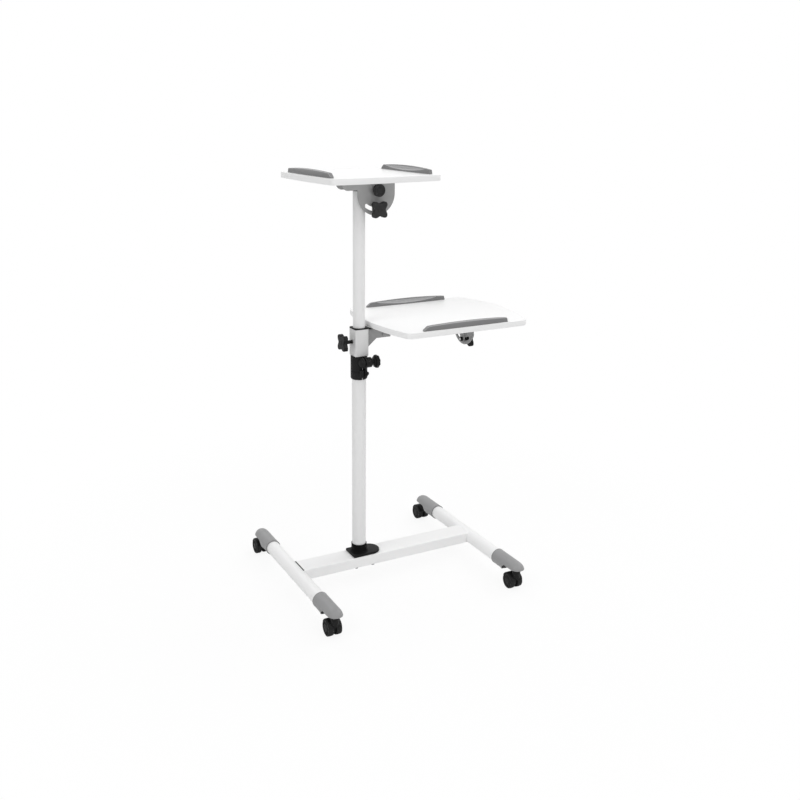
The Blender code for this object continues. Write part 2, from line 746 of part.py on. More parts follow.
def wheel(name, owner, inner_face, axis):
    # From its inner face outwards
    bore = CASTER_AXLE_RADIUS + GAP
    shoulder = WHEEL_RADIUS - WHEEL_EDGE_RADIUS
    profile = [
        (bore, WHEEL_WIDTH),
        (shoulder, WHEEL_WIDTH),
        (WHEEL_RADIUS, WHEEL_WIDTH - WHEEL_EDGE_RADIUS),
        (WHEEL_RADIUS, WHEEL_EDGE_RADIUS),
        (shoulder, 0),
        (bore, 0),
    ]
    tyre = turned(name, owner, profile, inner_face, axis, closed=True, sides=MIDDLE_SIDES)
    return finish(tyre, WHEEL_PLASTIC)


def socket_bolt_places():
    places = []
    for end, bolt_x in (("left", -SOCKET_BOLT_LEFT), ("right", SOCKET_BOLT_RIGHT)):
        for side, bolt_y in (("front", -SOCKET_BOLT_SIDE), ("back", SOCKET_BOLT_SIDE)):
            places.append((end + "_" + side, bolt_x, bolt_y))
    return places


def column_socket(owner):
    half_width = SOCKET_PLATE_HALF_WIDTH
    round_centre = SOCKET_PLATE_RIGHT - half_width
    outline = [(-SOCKET_PLATE_LEFT, half_width), (-SOCKET_PLATE_LEFT, -half_width)]
    outline += arc(round_centre, 0, half_width, -math.pi / 2, math.pi / 2, 16)
    middle = (plate_bottom + plate_top) / 2
    plate = extruded("column_socket", owner, [outline], SOCKET_PLATE_THICKNESS, (0, 0, middle))
    bore = outer_radius + GAP
    collar_radius = bore + SOCKET_COLLAR_WALL
    top = plate_top + SOCKET_COLLAR_HEIGHT
    profile = [(0, top), (collar_radius, top)]
    flare = SOCKET_FLARE_RADIUS - collar_radius
    for step in range(5):
        angle = math.pi / 2 * step / 4
        radius = SOCKET_FLARE_RADIUS - flare * math.cos(angle)
        profile.append((radius, plate_top + SOCKET_FLARE_HEIGHT * (1 - math.sin(angle))))
    seat = middle
    profile += [(SOCKET_FLARE_RADIUS, seat), (0, seat)]
    collar = turned("socket_collar", owner, profile, (0, 0, 0))
    hole = rod("socket_bore", owner, bore, plate_top, top + OVERRUN, "Z", 0, 0)
    join(plate, collar)
    for name, bolt_x, bolt_y in socket_bolt_places():
        passage = rod(
            "socket_hole_" + name, owner, socket_bolt_hole, plate_bottom - OVERRUN, plate_top + OVERRUN,
            "Z", bolt_x, bolt_y, SMALL_SIDES,
        )
        cut(plate, passage)
    cut(plate, hole)
    return finish(plate, BLACK_PLASTIC)


def socket_bolts(owner):
    head_top = crossbar_bottom - GAP
    shank_top = plate_top - 2 * GAP
    for name, bolt_x, bolt_y in socket_bolt_places():
        head_middle = (bolt_x, bolt_y, head_top - SOCKET_BOLT_HEAD_HEIGHT / 2)
        head = extruded(
            "socket_bolt_" + name, owner, [circle(SOCKET_BOLT_HEAD_RADIUS, 6)], SOCKET_BOLT_HEAD_HEIGHT,
            head_middle,
        )
        shank_bottom = head_top - SOCKET_BOLT_HEAD_HEIGHT / 2
        shank = rod(
            "socket_shank_" + name, owner, SOCKET_BOLT_RADIUS, shank_bottom, shank_top, "Z", bolt_x, bolt_y,
            SMALL_SIDES,
        )
        join(head, shank)
        finish(head, STEEL)


def clamp_collar(owner):
    bore = outer_radius + GAP
    radius = bore + CLAMP_WALL
    edge = CLAMP_EDGE_RADIUS
    profile = [(0, clamp_top), (radius, clamp_top)]
    for across, up in arc(radius - edge, clamp_bottom + edge, edge, 0, -math.pi / 2, 3):
        profile.append((across, up))
    profile.append((0, clamp_bottom))
    collar = turned("clamp_collar", owner, profile, (0, 0, 0))
    boss_height = clamp_top - CLAMP_BOSS_DROP
    boss = rod(
        "clamp_boss", owner, CLAMP_BOSS_RADIUS, -CLAMP_BOSS_LEFT, CLAMP_BOSS_RIGHT, "X",
        -CLAMP_BOSS_FRONT, boss_height, MIDDLE_SIDES,
    )
    ear_low = clamp_bottom + CLAMP_EAR_BOTTOM
    ear_high = ear_low + CLAMP_EAR_HEIGHT
    ears = box(
        "clamp_ears", owner, (-CLAMP_EAR_HALF_WIDTH, -CLAMP_EAR_FRONT, ear_low),
        (CLAMP_EAR_HALF_WIDTH, -CLAMP_EAR_BACK, ear_high),
    )
    join(collar, boss, ears)
    shoulder = outer_top + GAP
    bore_profile = [
        (0, clamp_top + OVERRUN),
        (running_bore, clamp_top + OVERRUN),
        (running_bore, shoulder),
        (bore, shoulder),
        (bore, clamp_bottom - OVERRUN),
        (0, clamp_bottom - OVERRUN),
    ]
    through = turned("clamp_bore", owner, bore_profile, (0, 0, 0))
    slit_half = CLAMP_SLIT_WIDTH / 2
    slit_front = -CLAMP_BOSS_FRONT - CLAMP_BOSS_RADIUS - OVERRUN
    slit = box(
        "clamp_slit", owner, (-slit_half, slit_front, clamp_bottom - OVERRUN),
        (slit_half, -running_bore / 2, clamp_top + OVERRUN),
    )
    stem_end = CLAMP_BOSS_RIGHT + OVERRUN
    knob_hole = rod(
        "clamp_knob_hole", owner, stem_hole, -CLAMP_BOSS_LEFT - OVERRUN, stem_end, "X",
        -CLAMP_BOSS_FRONT, boss_height, SMALL_SIDES,
    )
    screw_hole = rod(
        "clamp_screw_hole", owner, CLAMP_SCREW_RADIUS + GAP, -CLAMP_EAR_HALF_WIDTH - OVERRUN,
        CLAMP_EAR_HALF_WIDTH + OVERRUN, "X", -CLAMP_SCREW_FRONT, (ear_low + ear_high) / 2, SMALL_SIDES,
    )
    cut(collar, through, slit, knob_hole, screw_hole)
    return finish(collar, BLACK_PLASTIC)


def clamp_screw(owner):
    ear_middle = clamp_bottom + CLAMP_EAR_BOTTOM + CLAMP_EAR_HEIGHT / 2
    head_top = GAP + CLAMP_SCREW_HEAD_LENGTH
    shank_end = -2 * CLAMP_EAR_HALF_WIDTH
    profile = [
        (0, head_top),
        (CLAMP_SCREW_HEAD_RADIUS, head_top),
        (CLAMP_SCREW_HEAD_RADIUS, GAP),
        (CLAMP_SCREW_RADIUS, GAP),
        (CLAMP_SCREW_RADIUS, shank_end),
        (0, shank_end),
    ]
    seat = (CLAMP_EAR_HALF_WIDTH, -CLAMP_SCREW_FRONT, ear_middle)
    return finish(turned("clamp_screw", owner, profile, seat, "X", sides=SMALL_SIDES), BLACK_PLASTIC)


def height_knob(owner):
    sides = 3 * HEIGHT_KNOB_FLUTES
    flute = HEIGHT_KNOB_FLUTE_DEPTH
    outline = []
    for step in range(sides):
        angle = 2 * math.pi * step / sides
        radius = HEIGHT_KNOB_RADIUS - flute + flute * math.cos(HEIGHT_KNOB_FLUTES * angle)
        outline.append((radius * math.cos(angle), radius * math.sin(angle)))
    seat = (CLAMP_BOSS_RIGHT + GAP, -CLAMP_BOSS_FRONT, clamp_top - CLAMP_BOSS_DROP)
    hub = pivot("height_knob_axis", owner, seat)
    hub.rotation_euler = AXIS_TURNS["X"]
    middle = HEIGHT_KNOB_NECK_LENGTH + HEIGHT_KNOB_THICKNESS / 2
    knob = extruded("height_knob", hub, [outline], HEIGHT_KNOB_THICKNESS, (0, 0, middle))
    round_edges(knob, LOBED_KNOB_EDGE_RADIUS, 1)
    stem_end = -HEIGHT_KNOB_STEM_LENGTH
    profile = [
        (0, middle),
        (HEIGHT_KNOB_NECK_RADIUS, middle),
        (HEIGHT_KNOB_NECK_RADIUS, 0),
        (KNOB_STEM_RADIUS, 0),
        (KNOB_STEM_RADIUS, stem_end),
        (0, stem_end),
    ]
    stem = turned("height_knob_stem", hub, profile, (0, 0, 0), sides=SMALL_SIDES)
    join(knob, stem)
    return finish(knob, BLACK_PLASTIC)


def column_glide(owner):
    flange_top = inner_bottom - GAP
    flange_bottom = flange_top - GLIDE_FLANGE_HEIGHT
    spigot_top = flange_top + GLIDE_SPIGOT_LENGTH
    flange_radius = outer_bore - GAP
    spigot_radius = inner_bore - GAP
    profile = [
        (0, spigot_top),
        (spigot_radius, spigot_top),
        (spigot_radius, flange_top),
        (flange_radius, flange_top),
        (flange_radius, flange_bottom),
        (0, flange_bottom),
    ]
    return finish(turned("column_glide", owner, profile, (0, 0, 0)), BLACK_PLASTIC)


def column_cap(owner):
    # Its spigot sits in the top of the inner tube
    spigot_radius = inner_bore - GAP
    spigot_bottom = inner_top - COLUMN_CAP_SPIGOT_LENGTH
    seat = inner_top + GAP
    top = seat + COLUMN_CAP_THICKNESS
    profile = [
        (0, top),
        (inner_radius, top),
        (inner_radius, seat),
        (spigot_radius, seat),
        (spigot_radius, spigot_bottom),
        (0, spigot_bottom),
    ]
    return finish(turned("column_cap", owner, profile, (0, 0, 0)), BLACK_PLASTIC)


def head_bracket(owner):
    # The owner is on the tilt axis. Two cheeks stand on a block that hugs the tube,
    # and a tongue runs down from the front cheek to the lock knob.
    tube_x = -UPPER_TILT_OFFSET
    block_top = -UPPER_TILT_RISE
    block_bottom = block_top - HEAD_BLOCK_HEIGHT
    left = tube_x - HEAD_BLOCK_LEFT
    lobe = HEAD_CHEEK_LOBE_RADIUS
    outline = arc(0, 0, lobe, 0, math.pi, 12)
    outline += [(-lobe, block_top), (left, block_top), (left, block_bottom), (lobe, block_bottom)]
    bracket = extruded("head_bracket", owner, [outline], 2 * cheek_outside, (0, 0, 0), "Y")
    wall_x = tube_x + running_bore + HEAD_BLOCK_WALL
    past = lobe + OVERRUN
    gap_outline = [
        (left - OVERRUN, past),
        (left - OVERRUN, block_top),
        (wall_x, block_top),
        (wall_x, block_bottom - OVERRUN),
        (past, block_bottom - OVERRUN),
        (past, past),
    ]
    between = extruded("head_between_cheeks", owner, [gap_outline], 2 * cheek_inside, (0, 0, 0), "Y")
    tube = rod(
        "head_tube_bore", owner, running_bore, block_bottom - OVERRUN, block_top + OVERRUN, "Z", tube_x, 0
    )
    tongue_half = HEAD_TONGUE_HALF_WIDTH
    lock_z = -UPPER_SLOT_RADIUS
    tongue_y = -(cheek_inside + cheek_outside) / 2 + HEAD_TONGUE_SET_BACK
    tongue_outline = arc(0, lock_z, tongue_half, math.pi, 2 * math.pi, 8)
    tongue_outline += [(tongue_half, block_top), (-tongue_half, block_top)]
    tongue = extruded("head_tongue", owner, [tongue_outline], SHEET_THICKNESS, (0, tongue_y, 0), "Y")
    boss_end = -cheek_inside + HEAD_LOCK_BOSS_LENGTH
    boss = rod(
        "head_lock_boss", owner, HEAD_LOCK_BOSS_RADIUS, tongue_y, boss_end, "Y", 0, lock_z, SMALL_SIDES
    )
    clear = cheek_outside + OVERRUN
    shaft = rod("head_pivot_hole", owner, pivot_hole, -clear, clear, "Y", 0, 0, SMALL_SIDES)
    lock = rod("head_lock_hole", owner, stem_hole, -clear, boss_end + OVERRUN, "Y", 0, lock_z, SMALL_SIDES)
    cut(bracket, between, tube)
    join(bracket, tongue, boss)
    cut(bracket, shaft, lock)
    return finish(bracket, GREY_PAINT)


def upper_pivot(owner):
    seat = -ear_outside - GAP
    disc_back = -PIVOT_DISC_STANDOFF
    disc_front = disc_back - PIVOT_DISC_THICKNESS
    shaft_end = 2 * ear_outside + PIVOT_NUT_THICKNESS + 2 * GAP
    profile = [
        (0, shaft_end),
        (PIVOT_BOLT_RADIUS, shaft_end),
        (PIVOT_BOLT_RADIUS, 0),
        (PIVOT_NECK_RADIUS, 0),
        (PIVOT_NECK_RADIUS, disc_back),
        (PIVOT_DISC_RADIUS, disc_back),
        (PIVOT_DISC_RADIUS, disc_front + PIVOT_DISC_CHAMFER),
        (PIVOT_DISC_RADIUS - PIVOT_DISC_CHAMFER, disc_front),
        (0, disc_front),
    ]
    bolt = turned("upper_pivot_bolt", owner, profile, (0, seat, 0), "Y", sides=MIDDLE_SIDES)
    finish(bolt, BLACK_PLASTIC)
    nut_seat = ear_outside + GAP
    nut = extruded(
        "upper_pivot_nut", owner, [circle(PIVOT_NUT_RADIUS, 6), circle(pivot_hole)], PIVOT_NUT_THICKNESS,
        (0, nut_seat + PIVOT_NUT_THICKNESS / 2, 0), "Y",
    )
    finish(nut, STEEL)


def upper_tilt_channel(owner):
    # The front sheet carries the big slotted ear, the back sheet the small one
    top = UPPER_BOARD_RISE - GAP
    web_bottom = top - SHEET_THICKNESS
    flange_bottom = UPPER_BOARD_RISE - UPPER_FLANGE_DEPTH
    half = UPPER_EAR_HALF_WIDTH
    corner = UPPER_FLANGE_CORNER_RADIUS
    arc_centre = -UPPER_EAR_ARC_DROP
    reach = -UPPER_FLANGE_REACH
    front_outline = arc(reach + corner, flange_bottom + corner, corner, math.pi, 1.5 * math.pi, 6)
    front_outline += [(-half, flange_bottom)]
    front_outline += arc(0, arc_centre, half, math.pi, 2 * math.pi, 28)
    front_outline += [(half, top), (reach, top)]
    slot = arc_slot(UPPER_SLOT_RADIUS, UPPER_SLOT_WIDTH, UPPER_SLOT_HALF_ANGLE)
    hole = circle(pivot_hole)
    sheet_y = (ear_inside + ear_outside) / 2
    front = extruded(
        "upper_tilt_channel", owner, [front_outline, slot, hole], SHEET_THICKNESS, (0, -sheet_y, 0), "Y"
    )
    back_reach = reach + UPPER_FLANGE_SHORTER
    lobe = HEAD_CHEEK_LOBE_RADIUS
    back_outline = arc(back_reach + corner, flange_bottom + corner, corner, math.pi, 1.5 * math.pi, 6)
    back_outline += [(-lobe, flange_bottom)]
    back_outline += arc(0, 0, lobe, math.pi, 2 * math.pi, 12)
    back_outline += [(lobe, flange_bottom), (half, flange_bottom), (half, top), (back_reach, top)]
    back = extruded(
        "upper_back_sheet", owner, [back_outline, hole], SHEET_THICKNESS, (0, sheet_y, 0), "Y"
    )
    web = box("upper_web", owner, (back_reach, -sheet_y, web_bottom), (half, sheet_y, top))
    join(front, back, web)
    return finish(front, SILVER_PAINT)


def stop_side_outline():
    # An arched top between a tapered end and a blunt end
    half = STOP_LENGTH / 2
    rise = STOP_MIDDLE_HEIGHT - STOP_END_HEIGHT
    radius = (half ** 2 + rise ** 2) / (2 * rise)
    centre_y = STOP_MIDDLE_HEIGHT - radius
    start = math.asin((half - STOP_END_SLOPE) / radius)
    end = math.asin((STOP_TAPER_LENGTH - half) / radius)
    points = [(-half, 0), (half, 0)]
    points += arc(0, centre_y, radius, math.pi / 2 - start, math.pi / 2 - end, 10)
    points.append((-half, STOP_TIP_HEIGHT))
    return points


def stop(name, owner, middle, turn):
    # The side view, the plan and the sloped end view, each drawn through, meet in the rail
    half = STOP_THICKNESS / 2
    hub = pivot(name + "_middle", owner, middle)
    hub.rotation_euler = (0, 0, turn)
    rail = extruded(name, hub, [stop_side_outline()], STOP_THICKNESS + OVERRUN, (0, 0, 0), "Y")
    end_x = STOP_LENGTH / 2
    end_y = half - STOP_BULGE
    corners = [(-end_x, -end_y), (end_x, -end_y), (end_x, end_y), (-end_x, end_y)]
    bows = (STOP_BULGE, 0, STOP_BULGE, 0)
    plan_outline = bowed_outline(corners, bows, [STOP_ROUND_RADIUS] * len(corners), 8, 3)
    plan = extruded(name + "_plan", hub, [plan_outline], 4 * STOP_MIDDLE_HEIGHT, (0, 0, 0))
    ridge = STOP_RIDGE_WIDTH / 2
    roof_outline = [
        (half, -OVERRUN),
        (half, STOP_BAND_HEIGHT),
        (ridge, STOP_MIDDLE_HEIGHT),
        (-ridge, STOP_MIDDLE_HEIGHT),
        (-half, STOP_BAND_HEIGHT),
        (-half, -OVERRUN),
    ]
    roof = extruded(name + "_roof", hub, [roof_outline], STOP_LENGTH + OVERRUN, (0, 0, 0), "X")
    combine(rail, "INTERSECT", plan, roof)
    return finish(rail, GREY_PLASTIC)


def sleeve_bush(owner):
    radius = SLEEVE_WIDTH / 2 - SLEEVE_WALL - GAP
    height = SLEEVE_BUSH_HEIGHT
    profile = [(running_bore, height), (radius, height), (radius, 0), (running_bore, 0)]
    return finish(turned("sleeve_bush", owner, profile, (0, 0, 0), closed=True), BLACK_PLASTIC)


def lower_sleeve(owner):
    half = SLEEVE_WIDTH / 2
    inside = half - SLEEVE_WALL
    inside_corner = SLEEVE_CORNER_RADIUS - SLEEVE_WALL
    rim = rounded_rectangle(half, half, SLEEVE_CORNER_RADIUS)
    hollow = rounded_rectangle(inside, inside, inside_corner)
    sleeve = extruded("lower_sleeve", owner, [rim, hollow], SLEEVE_HEIGHT, (0, 0, SLEEVE_HEIGHT / 2))
    stem = rod(
        "sleeve_stem_hole", owner, stem_hole, -half - OVERRUN, -inner_radius, "X", 0, SLEEVE_KNOB_HEIGHT,
        SMALL_SIDES,
    )
    cut(sleeve, stem)
    return finish(sleeve, SILVER_PAINT)


def sleeve_liner(owner):
    # Fills the square sleeve above the bush, and caps its top edge with a rim
    half = SLEEVE_WIDTH / 2 - SLEEVE_WALL - GAP
    corner = SLEEVE_CORNER_RADIUS - SLEEVE_WALL
    bottom = SLEEVE_BUSH_HEIGHT + GAP
    rim_bottom = SLEEVE_HEIGHT + GAP
    top = rim_bottom + SLEEVE_LINER_RIM
    square = rounded_rectangle(half, half, corner)
    liner = extruded("sleeve_liner", owner, [square], top - bottom, (0, 0, (bottom + top) / 2))
    rim_half = SLEEVE_WIDTH / 2
    rim_outline = rounded_rectangle(rim_half, rim_half, SLEEVE_CORNER_RADIUS)
    rim = extruded("sleeve_liner_rim", owner, [rim_outline], SLEEVE_LINER_RIM, (0, 0, (rim_bottom + top) / 2))
    bore = rod("sleeve_liner_bore", owner, running_bore, bottom - OVERRUN, top + OVERRUN, "Z", 0, 0)
    stem = rod(
        "liner_stem_hole", owner, stem_hole, -rim_half - OVERRUN, -inner_radius / 2, "X", 0,
        SLEEVE_KNOB_HEIGHT, SMALL_SIDES,
    )
    join(liner, rim)
    cut(liner, bore, stem)
    return finish(liner, BLACK_PLASTIC)


def root_bracket(owner):
    # A wedge under the arm tube's root, open at the top, from the sleeve's face.
    # The owner is at the foot of the sleeve.
    tube_half = ARM_TUBE_WIDTH / 2
    half = tube_half + GAP + ROOT_BRACKET_WALL
    tube_bottom = LOWER_TILT_HEIGHT + ARM_TUBE_RISE - tube_half
    tube_top = tube_bottom + ARM_TUBE_WIDTH
    bottom = tube_bottom - GAP - ROOT_BRACKET_FLOOR
    top = tube_top + ROOT_BRACKET_TOP_RISE
    end = arm_start + ROOT_BRACKET_LENGTH
    outline = [
        (arm_start, bottom - ROOT_GUSSET_DEPTH),
        (arm_start + ROOT_GUSSET_LENGTH, bottom),
        (end, bottom),
        (end, top),
        (arm_start, top),
    ]
    bracket = extruded("root_bracket", owner, [outline], 2 * half, (0, 0, 0), "Y")
    channel = box(
        "root_channel", owner, (arm_start - OVERRUN, -tube_half - GAP, tube_bottom - GAP),
        (end + OVERRUN, tube_half + GAP, tube_top + OVERRUN),
    )
    bolt_x = end - ROOT_BOLT_FROM_END
    bolt_z = tube_bottom + ARM_TUBE_WALL + ROOT_BOLT_RISE
    hole = rod(
        "root_bolt_hole", owner, ROOT_BOLT_RADIUS + GAP, -half - OVERRUN, half + OVERRUN, "Y", bolt_x, bolt_z,
        SMALL_SIDES,
    )
    cut(bracket, channel, hole)
    finish(bracket, GREY_PAINT)
    head_end = half + GAP + ROOT_BOLT_HEAD_LENGTH
    profile = [
        (0, head_end),
        (ROOT_BOLT_HEAD_RADIUS, head_end),
        (ROOT_BOLT_HEAD_RADIUS, half + GAP),
        (ROOT_BOLT_RADIUS, half + GAP),
        (ROOT_BOLT_RADIUS, -half - GAP),
        (ROOT_BOLT_HEAD_RADIUS, -half - GAP),
        (ROOT_BOLT_HEAD_RADIUS, -head_end),
        (0, -head_end),
    ]
    finish(turned("root_bolt", owner, profile, (bolt_x, 0, bolt_z), "Y", sides=SMALL_SIDES), STEEL)
    return hole


def arm_tube(owner, bolt_hole):
    half = ARM_TUBE_WIDTH / 2
    centre_z = LOWER_TILT_HEIGHT + ARM_TUBE_RISE
    start = arm_start + GAP
    inside = half - ARM_TUBE_WALL
    rim = rounded_rectangle(half, half, ARM_TUBE_CORNER_RADIUS, 2)
    hollow = rounded_rectangle(inside, inside, ARM_TUBE_CORNER_RADIUS / 2, 1)
    middle = ((start + arm_end) / 2, 0, centre_z)
    tube = extruded("arm_tube", owner, [rim, hollow], arm_end - start, middle, "X")
    cut(tube, bolt_hole)
    return finish(tube, GREY_PAINT)


def arm_end_plate(owner):
    # The owner is on the lower tilt axis
    half = ARM_TUBE_WIDTH / 2
    top = ARM_TUBE_RISE + half
    outline = [(half, top), (-half, top)]
    outline += arc(0, -LOWER_SLOT_RADIUS, half, math.pi, 2 * math.pi, 10)
    holes = [circle(pivot_hole), circle(stem_hole, SMALL_SIDES, 0, -LOWER_SLOT_RADIUS)]
    middle = (end_plate_start + end_plate_end) / 2
    plate = extruded("arm_end_plate", owner, [outline] + holes, ARM_END_PLATE_THICKNESS, (middle, 0, 0), "X")
    return finish(plate, GREY_PAINT)


def lower_pivot_bolt(owner):
    # A head inside the arm tube and a washer outside the ear
    head_face = end_plate_start - GAP
    washer_face = lower_ear_end + GAP
    head_end = head_face - LOWER_PIVOT_HEAD_LENGTH
    washer_end = washer_face + LOWER_PIVOT_WASHER_LENGTH
    profile = [
        (0, washer_end),
        (LOWER_PIVOT_WASHER_RADIUS, washer_end),
        (LOWER_PIVOT_WASHER_RADIUS, washer_face),
        (PIVOT_BOLT_RADIUS, washer_face),
        (PIVOT_BOLT_RADIUS, head_face),
        (LOWER_PIVOT_HEAD_RADIUS, head_face),
        (LOWER_PIVOT_HEAD_RADIUS, head_end),
        (0, head_end),
    ]
    return finish(turned("lower_pivot_bolt", owner, profile, (0, 0, 0), "X", sides=MIDDLE_SIDES), STEEL)


def lower_lock_nut(owner):
    face = end_plate_start - GAP
    middle = (face - LOWER_LOCK_NUT_LENGTH / 2, 0, -LOWER_SLOT_RADIUS)
    outlines = [circle(LOWER_LOCK_NUT_RADIUS, 6), circle(stem_hole)]
    nut = extruded("lower_lock_nut", owner, outlines, LOWER_LOCK_NUT_LENGTH, middle, "X")
    return finish(nut, BLACK_PLASTIC)


def lower_tilt_bracket(owner):
    # A slotted ear square to the arm, under one end of a shallow channel
    top = LOWER_BOARD_RISE - GAP
    web_bottom = top - SHEET_THICKNESS
    half = LOWER_EAR_HALF_WIDTH
    outline = [(half, top), (-half, top)]
    outline += arc(0, -LOWER_EAR_ARC_DROP, half, math.pi, 2 * math.pi, 28)
    slot = arc_slot(LOWER_SLOT_RADIUS, LOWER_SLOT_WIDTH, LOWER_SLOT_HALF_ANGLE)
    middle = (lower_ear_start + lower_ear_end) / 2
    ear = extruded(
        "lower_tilt_bracket", owner, [outline, slot, circle(pivot_hole)], LOWER_EAR_THICKNESS,
        (middle, 0, 0), "X",
    )
    start = lower_ear_end - LOWER_EAR_THICKNESS - LOWER_WEB_LENGTH
    web_half = LOWER_WEB_HALF_WIDTH
    web = box("lower_web", owner, (start, -web_half, web_bottom), (middle, web_half, top))
    join(ear, web)
    for side, sign in (("front", -1), ("back", 1)):
        edges = sorted((sign * web_half, sign * (web_half - SHEET_THICKNESS)))
        flange_low = (start, edges[0], LOWER_BOARD_RISE - LOWER_FLANGE_DEPTH)
        flange_high = (middle, edges[1], top)
        join(ear, box("lower_flange_" + side, owner, flange_low, flange_high))
    return finish(ear, GREY_PAINT)


empty_scene()
parts = new_collection("projector_trolley")
cutters = new_collection("cutters")

trolley = pivot("trolley", None, (-origin_x, -origin_y, 0))

crossbar(trolley)
for foot_side, foot_place in (("left", -COLUMN_TO_LEFT_FOOT), ("right", COLUMN_TO_RIGHT_FOOT)):
    foot(foot_side, foot_place, trolley)
    for foot_end, direction, half_turn in (("front", -1, math.pi), ("back", 1, 0)):
        cap_place = (foot_place, direction * cap_start, FOOT_AXIS_HEIGHT)
        cap_seat = pivot("seat_" + foot_side + "_" + foot_end, trolley, cap_place)
        cap_seat.rotation_euler = (0, 0, half_turn)
        end_cap(foot_side, foot_end, cap_seat)
        swivel_place = (foot_place, direction * swivel_distance, 0)
        caster(foot_side, foot_end, pivot("floor_" + foot_side + "_" + foot_end, trolley, swivel_place))

column_socket(trolley)
socket_bolts(trolley)
outer_start = (0, 0, outer_bottom)
round_tube("outer_tube", trolley, outer_radius, OUTER_TUBE_WALL, OUTER_TUBE_LENGTH, outer_start, WHITE_PAINT)
clamp_collar(trolley)
clamp_screw(trolley)
height_knob(trolley)

column_lift = pivot("column_lift", trolley)
column_glide(column_lift)
column_turn = pivot("column_turn", column_lift)
inner_start = (0, 0, inner_bottom)
round_tube(
    "inner_tube", column_turn, inner_radius, INNER_TUBE_WALL, INNER_TUBE_LENGTH, inner_start, WHITE_PAINT
)
column_cap(column_turn)
head_seat = pivot("head_seat", column_turn, (0, 0, inner_top - COLUMN_ABOVE_HEAD_BLOCK))
head_seat.rotation_euler = (0, 0, HEAD_TURN)
upper_axis = pivot("upper_tilt_axis", head_seat, (UPPER_TILT_OFFSET, 0, UPPER_TILT_RISE))
head_bracket(upper_axis)
upper_pivot(upper_axis)
upper_lock_seat = (0, -ear_outside - GAP, -UPPER_SLOT_RADIUS)
upper_stem = SHEET_THICKNESS + 2 * GAP + SHEET_THICKNESS + HEAD_LOCK_BOSS_LENGTH
lobed_knob(
    "upper_lock_knob", upper_axis, upper_lock_seat, "-Y", UPPER_LOCK_STANDOFF, LOCK_COLLAR_RADIUS, upper_stem
)

upper_shelf = pivot("upper_shelf", upper_axis)
upper_tilt_channel(upper_shelf)
upper_left = UPPER_BOARD_RIGHTWARD - UPPER_TILT_OFFSET - UPPER_BOARD_HALF_LENGTH + UPPER_BOARD_BOW
upper_right = UPPER_BOARD_RIGHTWARD - UPPER_TILT_OFFSET + UPPER_BOARD_HALF_LENGTH - UPPER_BOARD_BOW
upper_front = UPPER_BOARD_BACKWARD - UPPER_BOARD_HALF_WIDTH + UPPER_BOARD_BOW
upper_back = UPPER_BOARD_BACKWARD + UPPER_BOARD_HALF_WIDTH - UPPER_BOARD_BOW
upper_corners = [
    (upper_front, -upper_right), (upper_back, -upper_right),
    (upper_back, -upper_left), (upper_front, -upper_left),
]
upper_bows = [UPPER_BOARD_BOW] * len(upper_corners)
upper_radii = [UPPER_BOARD_CORNER_RADIUS] * len(upper_corners)
board("upper_board", upper_shelf, upper_corners, upper_bows, upper_radii, UPPER_BOARD_RISE, math.pi / 2)
upper_stop_rise = UPPER_BOARD_RISE + BOARD_THICKNESS + GAP
left_stop = (-UPPER_TILT_OFFSET - UPPER_STOP_LEFT_X, UPPER_STOP_MIDDLE_Y, upper_stop_rise)
right_stop = (-UPPER_TILT_OFFSET + UPPER_STOP_RIGHT_X, UPPER_STOP_MIDDLE_Y, upper_stop_rise)
stop("upper_stop_left", upper_shelf, left_stop, math.pi / 2)
stop("upper_stop_right", upper_shelf, right_stop, -math.pi / 2)

arm_lift = pivot("arm_lift", column_turn, (0, 0, sleeve_bottom))
sleeve_bush(arm_lift)
arm_turn = pivot("arm_turn", arm_lift)
lower_sleeve(arm_turn)
sleeve_liner(arm_turn)
sleeve_seat = (-SLEEVE_WIDTH / 2 - GAP, 0, SLEEVE_KNOB_HEIGHT)
sleeve_stem = SLEEVE_WIDTH / 2 - inner_radius
lobed_knob(
    "sleeve_knob", arm_turn, sleeve_seat, "-X", SLEEVE_KNOB_STANDOFF, SLEEVE_KNOB_NECK_RADIUS, sleeve_stem
)
arm_tube(arm_turn, root_bracket(arm_turn))
lower_axis = pivot("lower_tilt_axis", arm_turn, (0, 0, LOWER_TILT_HEIGHT))
arm_end_plate(lower_axis)
lower_pivot_bolt(lower_axis)
lower_lock_nut(lower_axis)
lower_lock_seat = (lower_ear_end + GAP, 0, -LOWER_SLOT_RADIUS)
lower_stem = lower_ear_end - end_plate_start + 2 * GAP + LOWER_LOCK_NUT_LENGTH
lobed_knob(
    "lower_lock_knob", lower_axis, lower_lock_seat, "X", LOWER_LOCK_STANDOFF, LOCK_COLLAR_RADIUS, lower_stem
)

lower_shelf = pivot("lower_shelf", lower_axis)
lower_tilt_bracket(lower_shelf)
lower_left = LOWER_BOARD_LEFT + LOWER_BOARD_LEFT_BOW
lower_right = LOWER_BOARD_RIGHT - LOWER_BOARD_RIGHT_BOW
lower_corners = [
    (lower_left, -LOWER_BOARD_HALF_WIDTH), (lower_right, -LOWER_BOARD_HALF_WIDTH),
    (lower_right, LOWER_BOARD_HALF_WIDTH), (lower_left, LOWER_BOARD_HALF_WIDTH),
]
lower_bows = (0, LOWER_BOARD_RIGHT_BOW, 0, LOWER_BOARD_LEFT_BOW)
lower_radii = (
    LOWER_BOARD_LEFT_CORNER, LOWER_BOARD_RIGHT_CORNER, LOWER_BOARD_RIGHT_CORNER, LOWER_BOARD_LEFT_CORNER
)
board("lower_board", lower_shelf, lower_corners, lower_bows, lower_radii, LOWER_BOARD_RISE, 0)
lower_stop_rise = LOWER_BOARD_RISE + BOARD_THICKNESS + GAP
